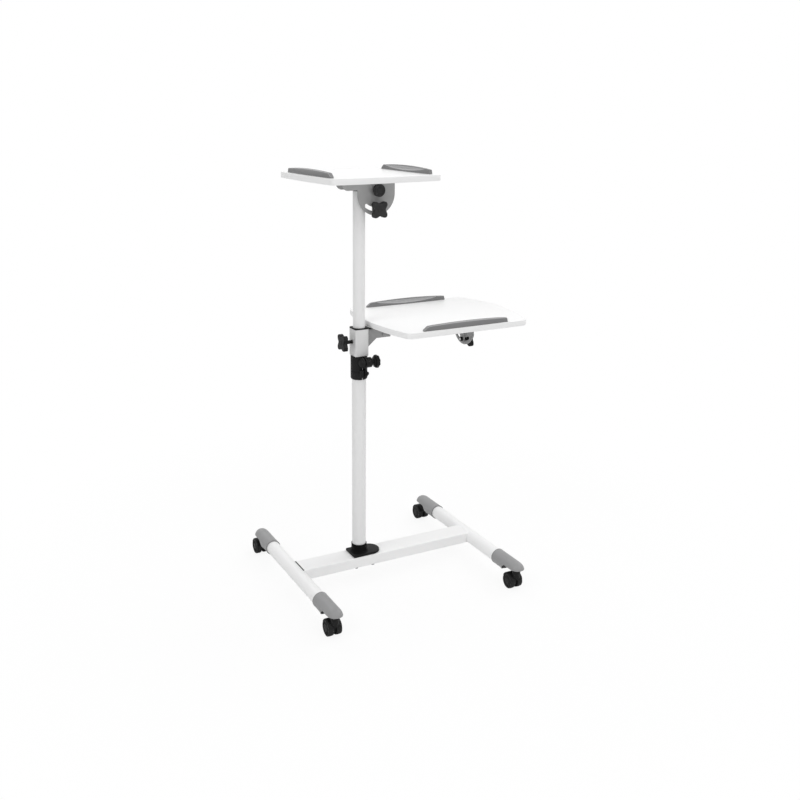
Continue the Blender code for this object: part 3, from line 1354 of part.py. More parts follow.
stop("lower_stop_front", lower_shelf, (LOWER_STOP_FRONT_X, -LOWER_STOP_FRONT_Y, lower_stop_rise), 0)
stop("lower_stop_back", lower_shelf, (LOWER_STOP_BACK_X, LOWER_STOP_BACK_Y, lower_stop_rise), 0)
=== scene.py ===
from functools import partial
from math import acos, asin, copysign, cos, hypot, pi, radians, sin, sqrt, tan

import bmesh
import bpy
from mathutils import Matrix, Vector


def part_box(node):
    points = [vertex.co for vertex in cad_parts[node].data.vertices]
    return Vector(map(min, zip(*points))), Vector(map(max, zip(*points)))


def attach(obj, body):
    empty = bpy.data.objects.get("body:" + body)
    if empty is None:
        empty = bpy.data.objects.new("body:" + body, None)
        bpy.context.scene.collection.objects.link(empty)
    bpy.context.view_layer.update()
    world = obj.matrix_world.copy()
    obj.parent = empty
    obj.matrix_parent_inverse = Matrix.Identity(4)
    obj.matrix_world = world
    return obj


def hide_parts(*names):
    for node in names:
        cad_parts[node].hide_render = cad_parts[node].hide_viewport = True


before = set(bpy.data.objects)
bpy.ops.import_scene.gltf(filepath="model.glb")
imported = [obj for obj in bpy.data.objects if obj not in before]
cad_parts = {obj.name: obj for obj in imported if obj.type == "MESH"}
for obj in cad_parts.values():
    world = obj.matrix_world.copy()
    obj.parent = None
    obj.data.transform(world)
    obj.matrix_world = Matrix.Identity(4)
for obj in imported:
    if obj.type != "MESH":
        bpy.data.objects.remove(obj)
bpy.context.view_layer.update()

# Pieces are modelled in millimetres round the column's axis, with the floor at nought
mm = 0.001
weldGap = 0.001
plateWeld = 0.002
onAxis = 1e-6
gap = 0.3  # between pieces that touch
boltHole = 4.3
nutBore = 4.2
tubeLow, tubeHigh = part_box("outer_tube")
column = Vector(((tubeLow.x + tubeHigh.x) / 2, (tubeLow.y + tubeHigh.y) / 2, 0))
toWorld = Matrix.Translation(column) @ Matrix.Scale(mm, 4)
headTurn = Matrix.Rotation(radians(2.8), 4, "Z")  # the upper shelf and its head stand turned a little
quarter = pi / 2
axisTurns = {
    "Z": Matrix.Identity(4),
    "X": Matrix(((0, 0, 1, 0), (1, 0, 0, 0), (0, 1, 0, 0), (0, 0, 0, 1))),
    "Y": Matrix(((1, 0, 0, 0), (0, 0, -1, 0), (0, 1, 0, 0), (0, 0, 0, 1))),
}
scratch = bpy.data.collections.new("scratch")
bpy.context.scene.collection.children.link(scratch)


def linked(name, data):
    item = bpy.data.objects.new(name, data)
    bpy.context.scene.collection.objects.link(item)
    return item


def scratchItem(data):
    item = bpy.data.objects.new("scratch", data)
    scratch.objects.link(item)
    return item


def evaluatedMesh(item):
    bpy.context.view_layer.update()
    depsgraph = bpy.context.evaluated_depsgraph_get()
    mesh = bpy.data.meshes.new_from_object(item.evaluated_get(depsgraph))
    bpy.data.objects.remove(item, do_unlink=True)
    return mesh


def meshOf(shape, weld=0.0, outwards=True):
    if weld:
        bmesh.ops.remove_doubles(shape, verts=shape.verts, dist=weld)
        bmesh.ops.dissolve_degenerate(shape, edges=shape.edges, dist=weld)
    if outwards:
        bmesh.ops.recalc_face_normals(shape, faces=shape.faces)
    mesh = bpy.data.meshes.new("shape")
    shape.to_mesh(mesh)
    shape.free()
    return mesh


def shapeOf(mesh):
    shape = bmesh.new()
    shape.from_mesh(mesh)
    return shape


def moved(mesh, place=(0, 0, 0), turn=None):
    # The turn is a matrix, or the axis that a shape made along Z comes to lie on
    copy = mesh.copy()
    if turn is not None:
        copy.transform(axisTurns[turn] if isinstance(turn, str) else turn)
    copy.transform(Matrix.Translation(Vector(place)))
    return copy


def movedParts(parts, place, turn=None):
    return [(moved(mesh, place, turn), finish) for mesh, finish in parts]


def pick(look, names):
    return [look[name] for name in names.split()]


def pointing(axis):
    # Turns a shape made along +Z so that it points along the axis
    return Vector((0, 0, 1)).rotation_difference(Vector(axis)).to_matrix().to_4x4()


def bevelled(mesh, width, segments=2, angle=35, keep=None, flat=0.5):
    shape = shapeOf(mesh)
    bmesh.ops.remove_doubles(shape, verts=shape.verts, dist=weldGap)
    bmesh.ops.dissolve_limit(shape, angle_limit=radians(flat), verts=shape.verts, edges=shape.edges)
    sharp = [
        edge for edge in shape.edges
        if len(edge.link_faces) == 2 and edge.calc_face_angle(0) > radians(angle)
        and (keep is None or keep(edge))
    ]
    bmesh.ops.bevel(
        shape, geom=sharp, offset=width, offset_type="OFFSET", segments=segments, profile=0.5,
        affect="EDGES", clamp_overlap=True,
    )
    return meshOf(shape, weldGap)


def arc(centreX, centreY, radius, start, end, steps):
    points = []
    for step in range(steps + 1):
        angle = start + (end - start) * step / steps
        points.append((centreX + radius * cos(angle), centreY + radius * sin(angle)))
    return points


def circle(radius, sides=32, centreX=0, centreY=0):
    return arc(centreX, centreY, radius, 0, 2 * pi, sides)[:-1]


def quarterArc(start, across, up, steps):
    # Leaves the start sideways and ends upright, after so much across and up
    angles = [quarter * step / steps for step in range(steps + 1)]
    return [(start[0] + across * sin(angle), start[1] + up * (1 - cos(angle))) for angle in angles]


def bend(first, middle, last, share):
    # A place on the curve from the first to the last that the middle one pulls at
    return first * (1 - share) ** 2 + middle * 2 * share * (1 - share) + last * share ** 2


def roundedRectangle(halfWidth, halfHeight, radius, steps=8):
    points = []
    for corner, (side, level) in enumerate(((1, 1), (-1, 1), (-1, -1), (1, -1))):
        start = corner * quarter
        centre = (side * (halfWidth - radius), level * (halfHeight - radius))
        points += arc(*centre, radius, start, start + quarter, steps)
    return points


def eased(line, radius, steps=5, closed=False, reachShare=0.48, straight=85):
    # Rounds the corners of a line of (across, up) points, but for the almost straight ones
    points = [Vector(point) for point in line]
    result = []
    for index, point in enumerate(points):
        before = points[index - 1] - point
        after = points[(index + 1) % len(points)] - point
        end = not closed and index in (0, len(points) - 1)
        half = quarter if end else before.angle(after) / 2
        if half > radians(straight):
            result.append(tuple(point))
            continue
        reach = min(radius / tan(half), before.length * reachShare, after.length * reachShare)
        first = point + before.normalized() * reach
        last = point + after.normalized() * reach
        result += [tuple(bend(first, point, last, step / steps)) for step in range(steps + 1)]
    return result


def lathe(profile, sides=96, closed=False):
    # A line of (radius, height) points turned about Z
    shape = bmesh.new()
    rings = []
    for radius, height in profile:
        if radius < onAxis:
            rings.append([shape.verts.new((0, 0, height))] * sides)
        else:
            rings.append([shape.verts.new((*point, height)) for point in circle(radius, sides)])
    pairs = list(zip(rings, rings[1:]))
    if closed:
        pairs.append((rings[-1], rings[0]))
    for lower, upper in pairs:
        for side in range(sides):
            following = (side + 1) % sides
            corners = []
            for vert in (lower[side], lower[following], upper[following], upper[side]):
                if vert not in corners:
                    corners.append(vert)
            if len(corners) > 2:
                shape.faces.new(corners)
    return meshOf(shape)


def turned(line, ease, sides=64, closed=False, steps=5):
    # The same from a line whose corners are eased first
    return lathe(eased(line, ease, steps, closed), sides, closed)


def plate(outlines, depth, edge=0.0, edgeSteps=2):
    # Flat outlines, the rim first and then its holes, given a thickness about Z = 0
    curve = bpy.data.curves.new("plate", "CURVE")
    curve.dimensions = "2D"
    curve.fill_mode = "BOTH"
    curve.extrude = depth / 2 - edge
    curve.bevel_depth = edge
    curve.bevel_resolution = edgeSteps
    curve.offset = -edge
    for outline in outlines:
        spline = curve.splines.new("POLY")
        spline.points.add(len(outline) - 1)
        for point, (across, up) in zip(spline.points, outline):
            point.co = (across, up, 0, 1)
        spline.use_cyclic_u = True
    return meshOf(shapeOf(evaluatedMesh(scratchItem(curve))), plateWeld)


def block(low, high):
    shape = bmesh.new()
    bmesh.ops.create_cube(shape, size=1)
    bmesh.ops.scale(shape, vec=Vector(high) - Vector(low), verts=shape.verts)
    bmesh.ops.translate(shape, vec=(Vector(low) + Vector(high)) / 2, verts=shape.verts)
    return meshOf(shape)


def rod(radius, start, end, axis="Z", place=(0, 0, 0), sides=48):
    mesh = lathe([(0, start), (radius, start), (radius, end), (0, end)], sides)
    return moved(mesh, place, axis)


def combined(mesh, *steps):
    # Each step is a boolean's name and the mesh that it takes
    item = scratchItem(mesh)
    tools = []
    for operation, toolMesh in steps:
        tools.append(scratchItem(toolMesh))
        modifier = item.modifiers.new(operation, "BOOLEAN")
        modifier.operation = operation
        modifier.solver = "EXACT"
        modifier.object = tools[-1]
    result = evaluatedMesh(item)
    for tool in tools:
        bpy.data.objects.remove(tool, do_unlink=True)
    return meshOf(shapeOf(result), weldGap, outwards=False)


def smoothStep(value):
    value = min(1.0, max(0.0, value))
    return value * value * (3 - 2 * value)


# Geometry Nodes: round tubes, lobes and flutes, blocks in a ring, and screws on points


def newTree(name, sizes):
    # Gives the tree, what goes into it, and short ways to add a node or a maths node to it
    tree = bpy.data.node_groups.new(name, "GeometryNodeTree")
    for label, kind in {"Geometry": "Geometry", **sizes, "Material": "Material"}.items():
        tree.interface.new_socket(label, in_out="INPUT", socket_type="NodeSocket" + kind)
    tree.interface.new_socket("Geometry", in_out="OUTPUT", socket_type="NodeSocketGeometry")
    given = tree.nodes.new("NodeGroupInput").outputs
    return tree, given, partial(addNode, tree), partial(addMaths, tree)


def addNode(tree, kind, links, **settings):
    # The links name a node's sockets or count them, and hold another node's output or a value
    node = tree.nodes.new(kind)
    for label, value in settings.items():
        setattr(node, label, value)
    for label, value in links.items():
        socket = node.inputs[label]
        if isinstance(value, bpy.types.NodeSocket):
            tree.links.new(value, socket)
        else:
            socket.default_value = value
    return node.outputs[0]


def addMaths(tree, operation, *values):
    return addNode(tree, "ShaderNodeMath", dict(enumerate(values)), operation=operation)


def endTree(tree, given, geometry):
    real = addNode(tree, "GeometryNodeRealizeInstances", {"Geometry": geometry})
    painted = addNode(tree, "GeometryNodeSetMaterial", {"Geometry": real, "Material": given["Material"]})
    tree.links.new(painted, tree.nodes.new("NodeGroupOutput").inputs["Geometry"])
    return tree


def grown(tree, mesh, values, finish):
    # Runs a tree on a mesh and gives back the plain mesh that it makes
    item = scratchItem(mesh)
    modifier = item.modifiers.new(tree.name, "NODES")
    modifier.node_group = tree
    values = {**values, "Material": finishes[finish]}
    for socket in tree.interface.items_tree:
        if socket.in_out == "INPUT" and socket.name in values:
            modifier[socket.identifier] = values[socket.name]
    return meshOf(shapeOf(evaluatedMesh(item)), weldGap)


def makeTubeTree():
    # The wall's section with eased corners is carried round a circle
    sizes = {"Radius": "Float", "Wall": "Float", "Length": "Float", "Edge": "Float", "Sides": "Int"}
    tree, given, node, maths = newTree("round tube", sizes)
    middle = maths("MULTIPLY_ADD", given["Wall"], -0.5, given["Radius"])
    path = node("GeometryNodeCurvePrimitiveCircle", {"Resolution": given["Sides"], "Radius": middle})
    wall = node(
        "GeometryNodeCurvePrimitiveQuadrilateral", {"Width": given["Wall"], "Height": given["Length"]}
    )
    rounding = {"Curve": wall, "Count": 3, "Radius": given["Edge"]}
    corners = node("GeometryNodeFilletCurve", rounding, mode="POLY")
    swept = node("GeometryNodeCurveToMesh", {"Curve": path, "Profile Curve": corners})
    return endTree(tree, given, swept)


def makeLobeTree():
    # Moves the rim of a turned shape in between its lobes, and what is inside it less and less
    sizes = {"Lobes": "Float", "Depth": "Float", "Start": "Float", "Width": "Float", "Rim": "Float"}
    tree, given, node, maths = newTree("lobes round an axis", sizes)
    parts = tree.nodes.new("ShaderNodeSeparateXYZ")
    tree.links.new(node("GeometryNodeInputPosition", {}), parts.inputs[0])
    across, along, up = parts.outputs
    angle = maths("ARCTAN2", along, across)
    phase = maths("MULTIPLY", maths("SUBTRACT", angle, given["Start"]), given["Lobes"])
    wave = maths("MULTIPLY_ADD", maths("COSINE", phase), -0.5, 0.5)
    shaped = maths("POWER", wave, given["Width"])
    squares = maths("MULTIPLY_ADD", across, across, maths("MULTIPLY", along, along))
    radius = maths("MAXIMUM", maths("SQRT", squares), weldGap)
    weight = maths("MINIMUM", maths("DIVIDE", radius, given["Rim"]), 1.0)
    pull = maths("MULTIPLY", maths("MULTIPLY", shaped, weight), given["Depth"])
    shrink = maths("DIVIDE", maths("SUBTRACT", radius, pull), radius)
    place = node(
        "ShaderNodeCombineXYZ",
        {"X": maths("MULTIPLY", across, shrink), "Y": maths("MULTIPLY", along, shrink), "Z": up},
    )
    return endTree(
        tree, given, node("GeometryNodeSetPosition", {"Geometry": given["Geometry"], "Position": place})
    )


def makeRingTree():
    # Blocks set in a ring, each turned to face outwards
    sizes = {"Count": "Int", "Radius": "Float", "Block": "Vector", "Level": "Float"}
    tree, given, node, maths = newTree("blocks in a ring", sizes)
    ring = node("GeometryNodeMeshCircle", {"Vertices": given["Count"], "Radius": given["Radius"]})
    lift = node("ShaderNodeCombineXYZ", {"Z": given["Level"]})
    raised = node("GeometryNodeTransform", {"Geometry": ring, "Translation": lift})
    block = node("GeometryNodeMeshCube", {"Size": given["Block"]})
    share = maths("DIVIDE", node("GeometryNodeInputIndex", {}), given["Count"])
    turn = node("ShaderNodeCombineXYZ", {"Z": maths("MULTIPLY", share, 2 * pi)})
    made = node("GeometryNodeInstanceOnPoints", {"Points": raised, "Instance": block, "Rotation": turn})
    return endTree(tree, given, made)


# The crown is a share of the head's height. The head sinks into the washer, and the crown into the head
screwForm = dict(crownShare=0.25, sunkShare=0.95, seatShare=0.99, washerSides=32)


def makeScrewTree():
    # A washer, a head and its crown stand on every point
    sizes = {
        "Sides": "Int", "Head radius": "Float", "Head height": "Float", "Washer radius": "Float",
        "Washer height": "Float", "Crown": "Float", "Turn": "Vector",
    }
    tree, given, node, maths = newTree("screws on points", sizes)
    crownHeight = maths("MULTIPLY", given["Head height"], screwForm["crownShare"])
    stemHeight = maths("SUBTRACT", given["Head height"], crownHeight)
    sunk = maths("MULTIPLY", given["Washer height"], screwForm["sunkShare"])
    washer = {
        "Vertices": screwForm["washerSides"], "Radius": given["Washer radius"],
        "Depth": given["Washer height"],
    }
    head = {"Vertices": given["Sides"], "Radius": given["Head radius"], "Depth": stemHeight}
    crown = {
        "Vertices": given["Sides"],
        "Radius Bottom": maths("MULTIPLY", given["Head radius"], screwForm["seatShare"]),
        "Radius Top": maths("MULTIPLY", given["Head radius"], given["Crown"]), "Depth": crownHeight,
    }
    joined = tree.nodes.new("GeometryNodeJoinGeometry")
    for kind, links, level in (
        ("Cylinder", washer, maths("MULTIPLY", given["Washer height"], 0.5)),
        ("Cylinder", head, maths("MULTIPLY_ADD", stemHeight, 0.5, sunk)),
        ("Cone", crown, maths("MULTIPLY_ADD", stemHeight, screwForm["seatShare"], sunk)),
    ):
        part = node("GeometryNodeMesh" + kind, links)
        lift = node("ShaderNodeCombineXYZ", {"Z": level})
        raised = node("GeometryNodeTransform", {"Geometry": part, "Translation": lift})
        tree.links.new(raised, joined.inputs[0])
    made = node(
        "GeometryNodeInstanceOnPoints",
        {"Points": given["Geometry"], "Instance": joined.outputs[0], "Rotation": given["Turn"]},
    )
    return endTree(tree, given, made)


# Finishes

sheenRange = {"From Min": 0.3, "From Max": 0.7}


def addTone(tree, shader, look, place):
    links = {"Vector": place, "Scale": look["toneScale"], "Detail": 3}
    tones = tree.nodes.new("ShaderNodeMix")
    tones.data_type = "RGBA"
    for label, sign in (("A", -1), ("B", 1)):
        tone = [min(1.0, value * (1 + sign * look["toneSpread"])) for value in look["colour"]]
        tones.inputs[label].default_value = (*tone, 1)
    tree.links.new(addNode(tree, "ShaderNodeTexNoise", links), tones.inputs["Factor"])
    tree.links.new(tones.outputs["Result"], shader.inputs["Base Color"])


def addSheen(tree, shader, look, place):
    links = {"Vector": place, "Scale": look["toneScale"] * 3, "Detail": 4}
    spread = addNode(tree, "ShaderNodeMapRange", {
        **sheenRange, "Value": addNode(tree, "ShaderNodeTexNoise", links),
        "To Min": look["roughness"] - look["drift"], "To Max": look["roughness"] + look["drift"],
    })
    tree.links.new(spread, shader.inputs["Roughness"])


def addGrain(tree, shader, look, place):
    kind = "ShaderNodeTexVoronoi" if look["grain"] == "cells" else "ShaderNodeTexNoise"
    bump = addNode(tree, "ShaderNodeBump", {
        "Height": addNode(tree, kind, {"Vector": place, "Scale": look["grainScale"]}),
        "Strength": look["grainStrength"], "Distance": look["grainDepth"],
    })
    tree.links.new(bump, shader.inputs["Normal"])


def makeFinish(name, look):
    material = bpy.data.materials.new(name)
    material.use_nodes = True
    tree = material.node_tree
    shader = tree.nodes["Principled BSDF"]
    shader.inputs["Metallic"].default_value = look["metallic"]
    shader.inputs["Specular IOR Level"].default_value = look["specular"]
    place = tree.nodes.new("ShaderNodeTexCoord").outputs["Object"]
    for add in (addTone, addSheen, addGrain):
        add(tree, shader, look, place)
    return material


def powder(level, spread=0.012):
    return dict(
        colour=(level, level, level), roughness=0.42, drift=0.04, metallic=0, specular=0.5, toneSpread=spread,
        toneScale=14, grain="cloud", grainScale=900, grainStrength=0.16, grainDepth=0.0003,
    )


def plastic(level, roughness=0.45, spread=0.03, specular=0.5):
    return dict(
        colour=(level, level, level * 1.01), roughness=roughness, drift=0.05, metallic=0, specular=specular,
        toneSpread=spread, toneScale=30, grain="cells", grainScale=1300, grainStrength=0.22,
        grainDepth=0.00025,
    )


def metal(colour, roughness, spread):
    return dict(
        colour=colour, roughness=roughness, drift=0.06, metallic=1, specular=0.5, toneSpread=spread,
        toneScale=120, grain="cloud", grainScale=1600, grainStrength=0.15, grainDepth=0.0001,
    )


looks = {
    "basePowder": powder(0.89),
    "columnPowder": powder(0.80),
    "boardFace": dict(powder(0.93, 0.01), roughness=0.36, toneScale=5, grainScale=1500, grainStrength=0.10),
    # The banded edges are painted a little darker than the faces: partly the banding's own tone, partly
    # painted shade on the boards' sides
    "boardEdge": dict(powder(0.87), roughness=0.46, grainScale=700),
    "sleevePowder": powder(0.66, 0.02),
    "bracketPowder": powder(0.30, 0.03),
    "armPowder": powder(0.27, 0.03),
    "headPowder": powder(0.37, 0.03),
    "capPlastic": plastic(0.285, 0.50),
    # The cap's end ring is painted darker than the cap: painted shade on its end face
    "capRingPaintedShade": plastic(0.22, 0.50),
    # The plug inside the cap is painted dark: painted shade for the shadow in the cap's end
    "capPaintedShade": plastic(0.11, 0.60),
    "stopPlastic": plastic(0.185, 0.40),
    # The rails' ridge and scoop faces are painted lighter: painted highlight
    "stopPaintedLight": plastic(0.38, 0.50),
    "blackPlastic": plastic(0.013, 0.46, 0.12, 0.12),
    # A lighter copy of the black plastic: painted light on the upper pivot disc and lock knob
    "satinBlack": plastic(0.032, 0.46, 0.10, 0.18),
    "socketPlastic": plastic(0.008, 0.50, 0.12, 0.12),
    "collarPlastic": plastic(0.005, 0.55, 0.12, 0.05),
    "wheelPlastic": plastic(0.018, 0.52, 0.15, 0.15),
    "linerPlastic": plastic(0.009, 0.50, 0.10, 0.15),
    "steel": metal((0.56, 0.56, 0.57), 0.30, 0.05),
    "darkSteel": metal((0.09, 0.09, 0.10), 0.38, 0.08),
}
finishes = {name: makeFinish(name, look) for name, look in looks.items()}
print("finishes ready")

tubeTree = makeTubeTree()
lobeTree = makeLobeTree()
ringTree = makeRingTree()
screwTree = makeScrewTree()


def pointsMesh(points):
    mesh = bpy.data.meshes.new("points")
    mesh.from_pydata(points, [], [])
    return mesh


def roundTube(radius, wall, length, finish, edge=0.5, sides=128):
    values = {"Radius": radius, "Wall": wall, "Length": length, "Edge": edge, "Sides": sides}
    return grown(tubeTree, pointsMesh([(0, 0, 0)]), values, finish)


def ribRing(count, radius, size, level, finish):
    values = {"Count": count, "Radius": radius, "Block": size, "Level": level}
    return grown(ringTree, pointsMesh([(0, 0, 0)]), values, finish)


def screwSet(points, look, turn):
    return grown(screwTree, pointsMesh(points), {**look, "Turn": turn}, "steel")


def setPiece(name, parts, body, nodes, onHead=False, angle=32):
    # The parts are meshes round the column's axis, each with its finish, with a pair for its flat faces and
    # its edges, or with a list that its faces' material numbers pick from
    shape = bmesh.new()
    used = []
    for mesh, finish in parts:
        first = len(shape.faces)
        shape.from_mesh(mesh)
        for face in list(shape.faces)[first:]:
            if isinstance(finish, list):
                chosen = finish[face.material_index]
            elif isinstance(finish, tuple):
                chosen = finish[0 if abs(face.normal.z) > 0.999 else 1]
            else:
                chosen = finish
            if chosen not in used:
                used.append(chosen)
            face.material_index = used.index(chosen)
    mesh = bpy.data.meshes.new(name)
    shape.to_mesh(mesh)
    shape.free()
    if onHead:
        mesh.transform(headTurn)
    mesh.transform(toWorld)
    mesh.shade_smooth()
    mesh.set_sharp_from_angle(angle=radians(angle))
    for finish in used:
        mesh.materials.append(finishes[finish])
    piece = linked(name, mesh)
    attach(piece, body)
    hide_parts(*nodes)


# Base: two foot tubes and the crossbar between them

# The joint shade sizes give the thin black strip of painted shade at the crossbar's left joint
base = dict(
    feet={"left": -192.5, "right": 354.5}, footRadius=19, footWall=2, footHalf=200, axis=59, barWidth=60,
    barHeight=30, barWall=2, barEdge=3, barCentre=60, scribe=19.25, scribeHalf=50, jointShadeIn=19.4, jointShadeOut=21.3,
    jointShadeHalf=29, sealLow=72, sealHigh=75.35, jointShadeEdge=0.1,
)
footEnds = [
    (side + "_" + end, footX, facing)
    for side, footX in base["feet"].items() for end, facing in (("front", -1), ("back", 1))
]


def makeBase():
    for side, footX in base["feet"].items():
        tube = roundTube(base["footRadius"], base["footWall"], 2 * base["footHalf"], "basePowder")
        tube = moved(tube, (footX, 0, base["axis"]), "Y")
        setPiece("footTube_" + side, [(tube, "basePowder")], "base", ["foot_" + side])
    left, right = base["feet"].values()
    halfWidth = base["barWidth"] / 2
    halfHeight = base["barHeight"] / 2
    rim = roundedRectangle(halfWidth, halfHeight, base["barEdge"])
    hollow = roundedRectangle(halfWidth - base["barWall"], halfHeight - base["barWall"], base["barEdge"] / 3)
    bar = plate([rim, hollow], right - left)
    bar = moved(bar, ((left + right) / 2, 0, base["barCentre"]), "X")
    radius, reach = pick(base, "scribe scribeHalf")
    cuts = [rod(radius, -reach, reach, "Y", (footX, 0, base["axis"]), 128) for footX in (left, right)]
    bar = combined(bar, *(("DIFFERENCE", cut) for cut in cuts))
    # Painted shade: a thin black strip along the crossbar's top where it meets the left foot, standing in for
    # the shadow in the joint's gap
    outline = []
    for side, *levels in (("jointShadeIn", "sealLow", "sealHigh"), ("jointShadeOut", "sealHigh", "sealLow")):
        ends = [asin((base[level] - base["axis"]) / base[side]) for level in levels]
        outline += arc(0, 0, base[side], *ends, 8)
    jointShade = plate([outline], 2 * base["jointShadeHalf"], base["jointShadeEdge"], 1)
    jointShade = moved(jointShade, (left, 0, base["axis"]), "Y")
    parts = [(bar, "basePowder"), (jointShade, "blackPlastic")]
    setPiece("crossbarTube", parts, "base", ["crossbar"])


makeBase()
print("base ready")

# End caps: half-open covers over the ends of the feet

cap = dict(
    radius=21.25, wall=1.95, start=164, length=110.4, nose=28, fullness=2.4, swoopStart=33, swoopEnd=60,
    hem=3.5, uprightShare=0.55, uprightLength=16, barrelSteps=44, noseSteps=18, rowSteps=36, weld=0.05,
    sink=0.2, ribs=(58, 70, 101), ribWidth=1.4, ribAboveHem=1, noseRibGap=0.6, boss=8, bossEdge=0.4,
    bossAt=89, bossTopGap=1, stem=4.3, plugAt=37.4, plugWidth=1.8, plugEase=0.4, keelAboveHem=3,
    keelTopGap=0.5, keelInBoss=1, ringWidth=2.2, ringIn=0.8, ringOut=0.25,
)


def capAcross(along, radius):
    share = max(0.0, (along - cap["length"] + cap["nose"]) / cap["nose"])
    return radius * max(0.0, 1 - share ** cap["fullness"]) ** (1 / cap["fullness"])


def capRows():
    # Rows across the shell from its mouth to its nose; their ends follow the hem
    radius, nose, fullness, noseSteps, rowSteps = pick(cap, "radius nose fullness noseSteps rowSteps")
    barrel = cap["length"] - nose
    stations = [barrel * step / cap["barrelSteps"] for step in range(cap["barrelSteps"] + 1)]
    # The nose ends where its round top has come down to the hem
    tip = nose * (1 - (cap["hem"] / radius) ** fullness) ** (1 / fullness)
    stations += [barrel + tip * sin(quarter * step / noseSteps) for step in range(1, noseSteps + 1)]
    rows = []
    for along in stations:
        across = capAcross(along, radius)
        past = along - cap["swoopStart"]
        hem = -radius + (radius + cap["hem"]) * smoothStep(past / (cap["swoopEnd"] - cap["swoopStart"]))
        limit = acos(max(-1.0, min(1.0, hem / across))) if along < stations[-1] else 0.0
        upright = cap["uprightShare"] * smoothStep(past / cap["uprightLength"])
        row = []
        for step in range(-rowSteps, rowSteps + 1):
            angle = limit * step / rowSteps
            side = sin(angle)
            if abs(angle) > quarter:
                side = side * (1 - upright) + copysign(upright, side)
            row.append((across * side, along, across * cos(angle)))
        rows.append(row)
    return rows


def makeCapParts():
    radius, hem, sink, boss, stem, edge, width = pick(cap, "radius hem sink boss stem bossEdge plugWidth")
    shape = bmesh.new()
    rows = [[shape.verts.new(point) for point in row] for row in capRows()]
    for first, second in zip(rows, rows[1:]):
        for corners in zip(first, first[1:], second[1:], second):
            shape.faces.new(corners)
    item = scratchItem(meshOf(shape, cap["weld"]))
    wall = item.modifiers.new("wall", "SOLIDIFY")
    wall.thickness = cap["wall"]
    wall.offset = -1
    wall.use_even_offset = True
    shell = evaluatedMesh(item)
    inner = radius - cap["wall"] + sink
    parts = [(shell, "capPlastic")]
    for place in cap["ribs"]:
        half = capAcross(place, inner) - (cap["noseRibGap"] if place > cap["length"] - cap["nose"] else 0)
        rise = asin((hem + cap["ribAboveHem"]) / half)
        rib = plate([arc(0, 0, half, rise, pi - rise, 32)], cap["ribWidth"], sink, 1)
        parts.append((moved(rib, (0, place, 0), "Y"), "capPlastic"))
    top = inner - cap["bossTopGap"]
    line = [(stem, sink), (boss - edge, sink), (boss, sink + edge), (boss, top), (stem, top)]
    parts.append((moved(lathe(line, 48, closed=True), (0, cap["bossAt"], 0)), "capPlastic"))
    # The plug that closes the foot tube's end is painted dark, as painted shade
    plug = turned([(0, 0), (inner, 0), (inner, width), (0, width)], cap["plugEase"])
    parts.append((moved(plug, (0, cap["plugAt"], 0), pointing((0, 1, 0))), "capPaintedShade"))
    half = cap["ribWidth"] / 2
    keelEnd = cap["bossAt"] - boss + cap["keelInBoss"]
    low = (-half, cap["ribs"][0], hem + cap["keelAboveHem"])
    parts.append((block(low, (half, keelEnd, inner - cap["keelTopGap"])), "capPlastic"))
    # A darker ring at the cap's mouth, painted shade for its end face
    inside = radius - cap["ringIn"]
    outside = radius + cap["ringOut"]
    width = cap["ringWidth"]
    line = [(inside, -sink), (outside, -sink), (outside, width), (inside, width)]
    ring = turned(line, sink, 96, closed=True, steps=3)
    parts.append((moved(ring, turn=pointing((0, 1, 0))), "capRingPaintedShade"))
    return parts


def makeCaps():
    made = makeCapParts()
    for end, footX, facing in footEnds:
        turn = Matrix.Rotation(pi if facing < 0 else 0, 4, "Z")
        parts = movedParts(made, (footX, facing * cap["start"], base["axis"]), turn)
        setPiece("endCap_" + end, parts, "base", ["cap_" + end], angle=40)


makeCaps()
print("end caps ready")

# Casters: a hooded body with two wheels on one axle

caster = dict(
    swivel=253, trail=15.5, spacing=7.5, hoodRadius=23.8, hoodBore=21.8, hoodWidth=36, hem=30, hemKeep=0.2,
    shoulder=3.2, shoulderAngle=50, neck=11, neckTop=58.7, neckBottom=36, neckTaper=(1.2, 3), neckEase=0.8,
    web=15.5, webGap=0.5, rib=dict(gap=0.1, front=-7, aboveAxle=8, pastAxle=6, aboveHem=8), axle=3,
    axleSunk=4, stem=4, stemInNeck=4, stemTop=71,
)
# Its line goes from the wheel's inner face to its outer one, as (radius, distance from the inner face)
wheel = dict(
    radius=21, width=14.5, ease=0.9, ribs=8, ribAt=12.9, rib=(7.4, 1.2, 1.4), ribLevel=13.5, line=[
        (0, 1.2), (13.5, 1.2), (14.2, 0), (20.4, 0), (21, 4.5), (21, 10), (20.4, 14.5), (17.6, 14.5),
        (16.9, 12.9), (8.9, 13.1), (8.4, 14.6), (4, 15), (0, 15),
    ],
)


def makeWheel():
    ribs = ribRing(wheel["ribs"], wheel["ribAt"], wheel["rib"], wheel["ribLevel"], "wheelPlastic")
    return [(turned(wheel["line"], wheel["ease"], 72), "wheelPlastic"), (ribs, "wheelPlastic")]


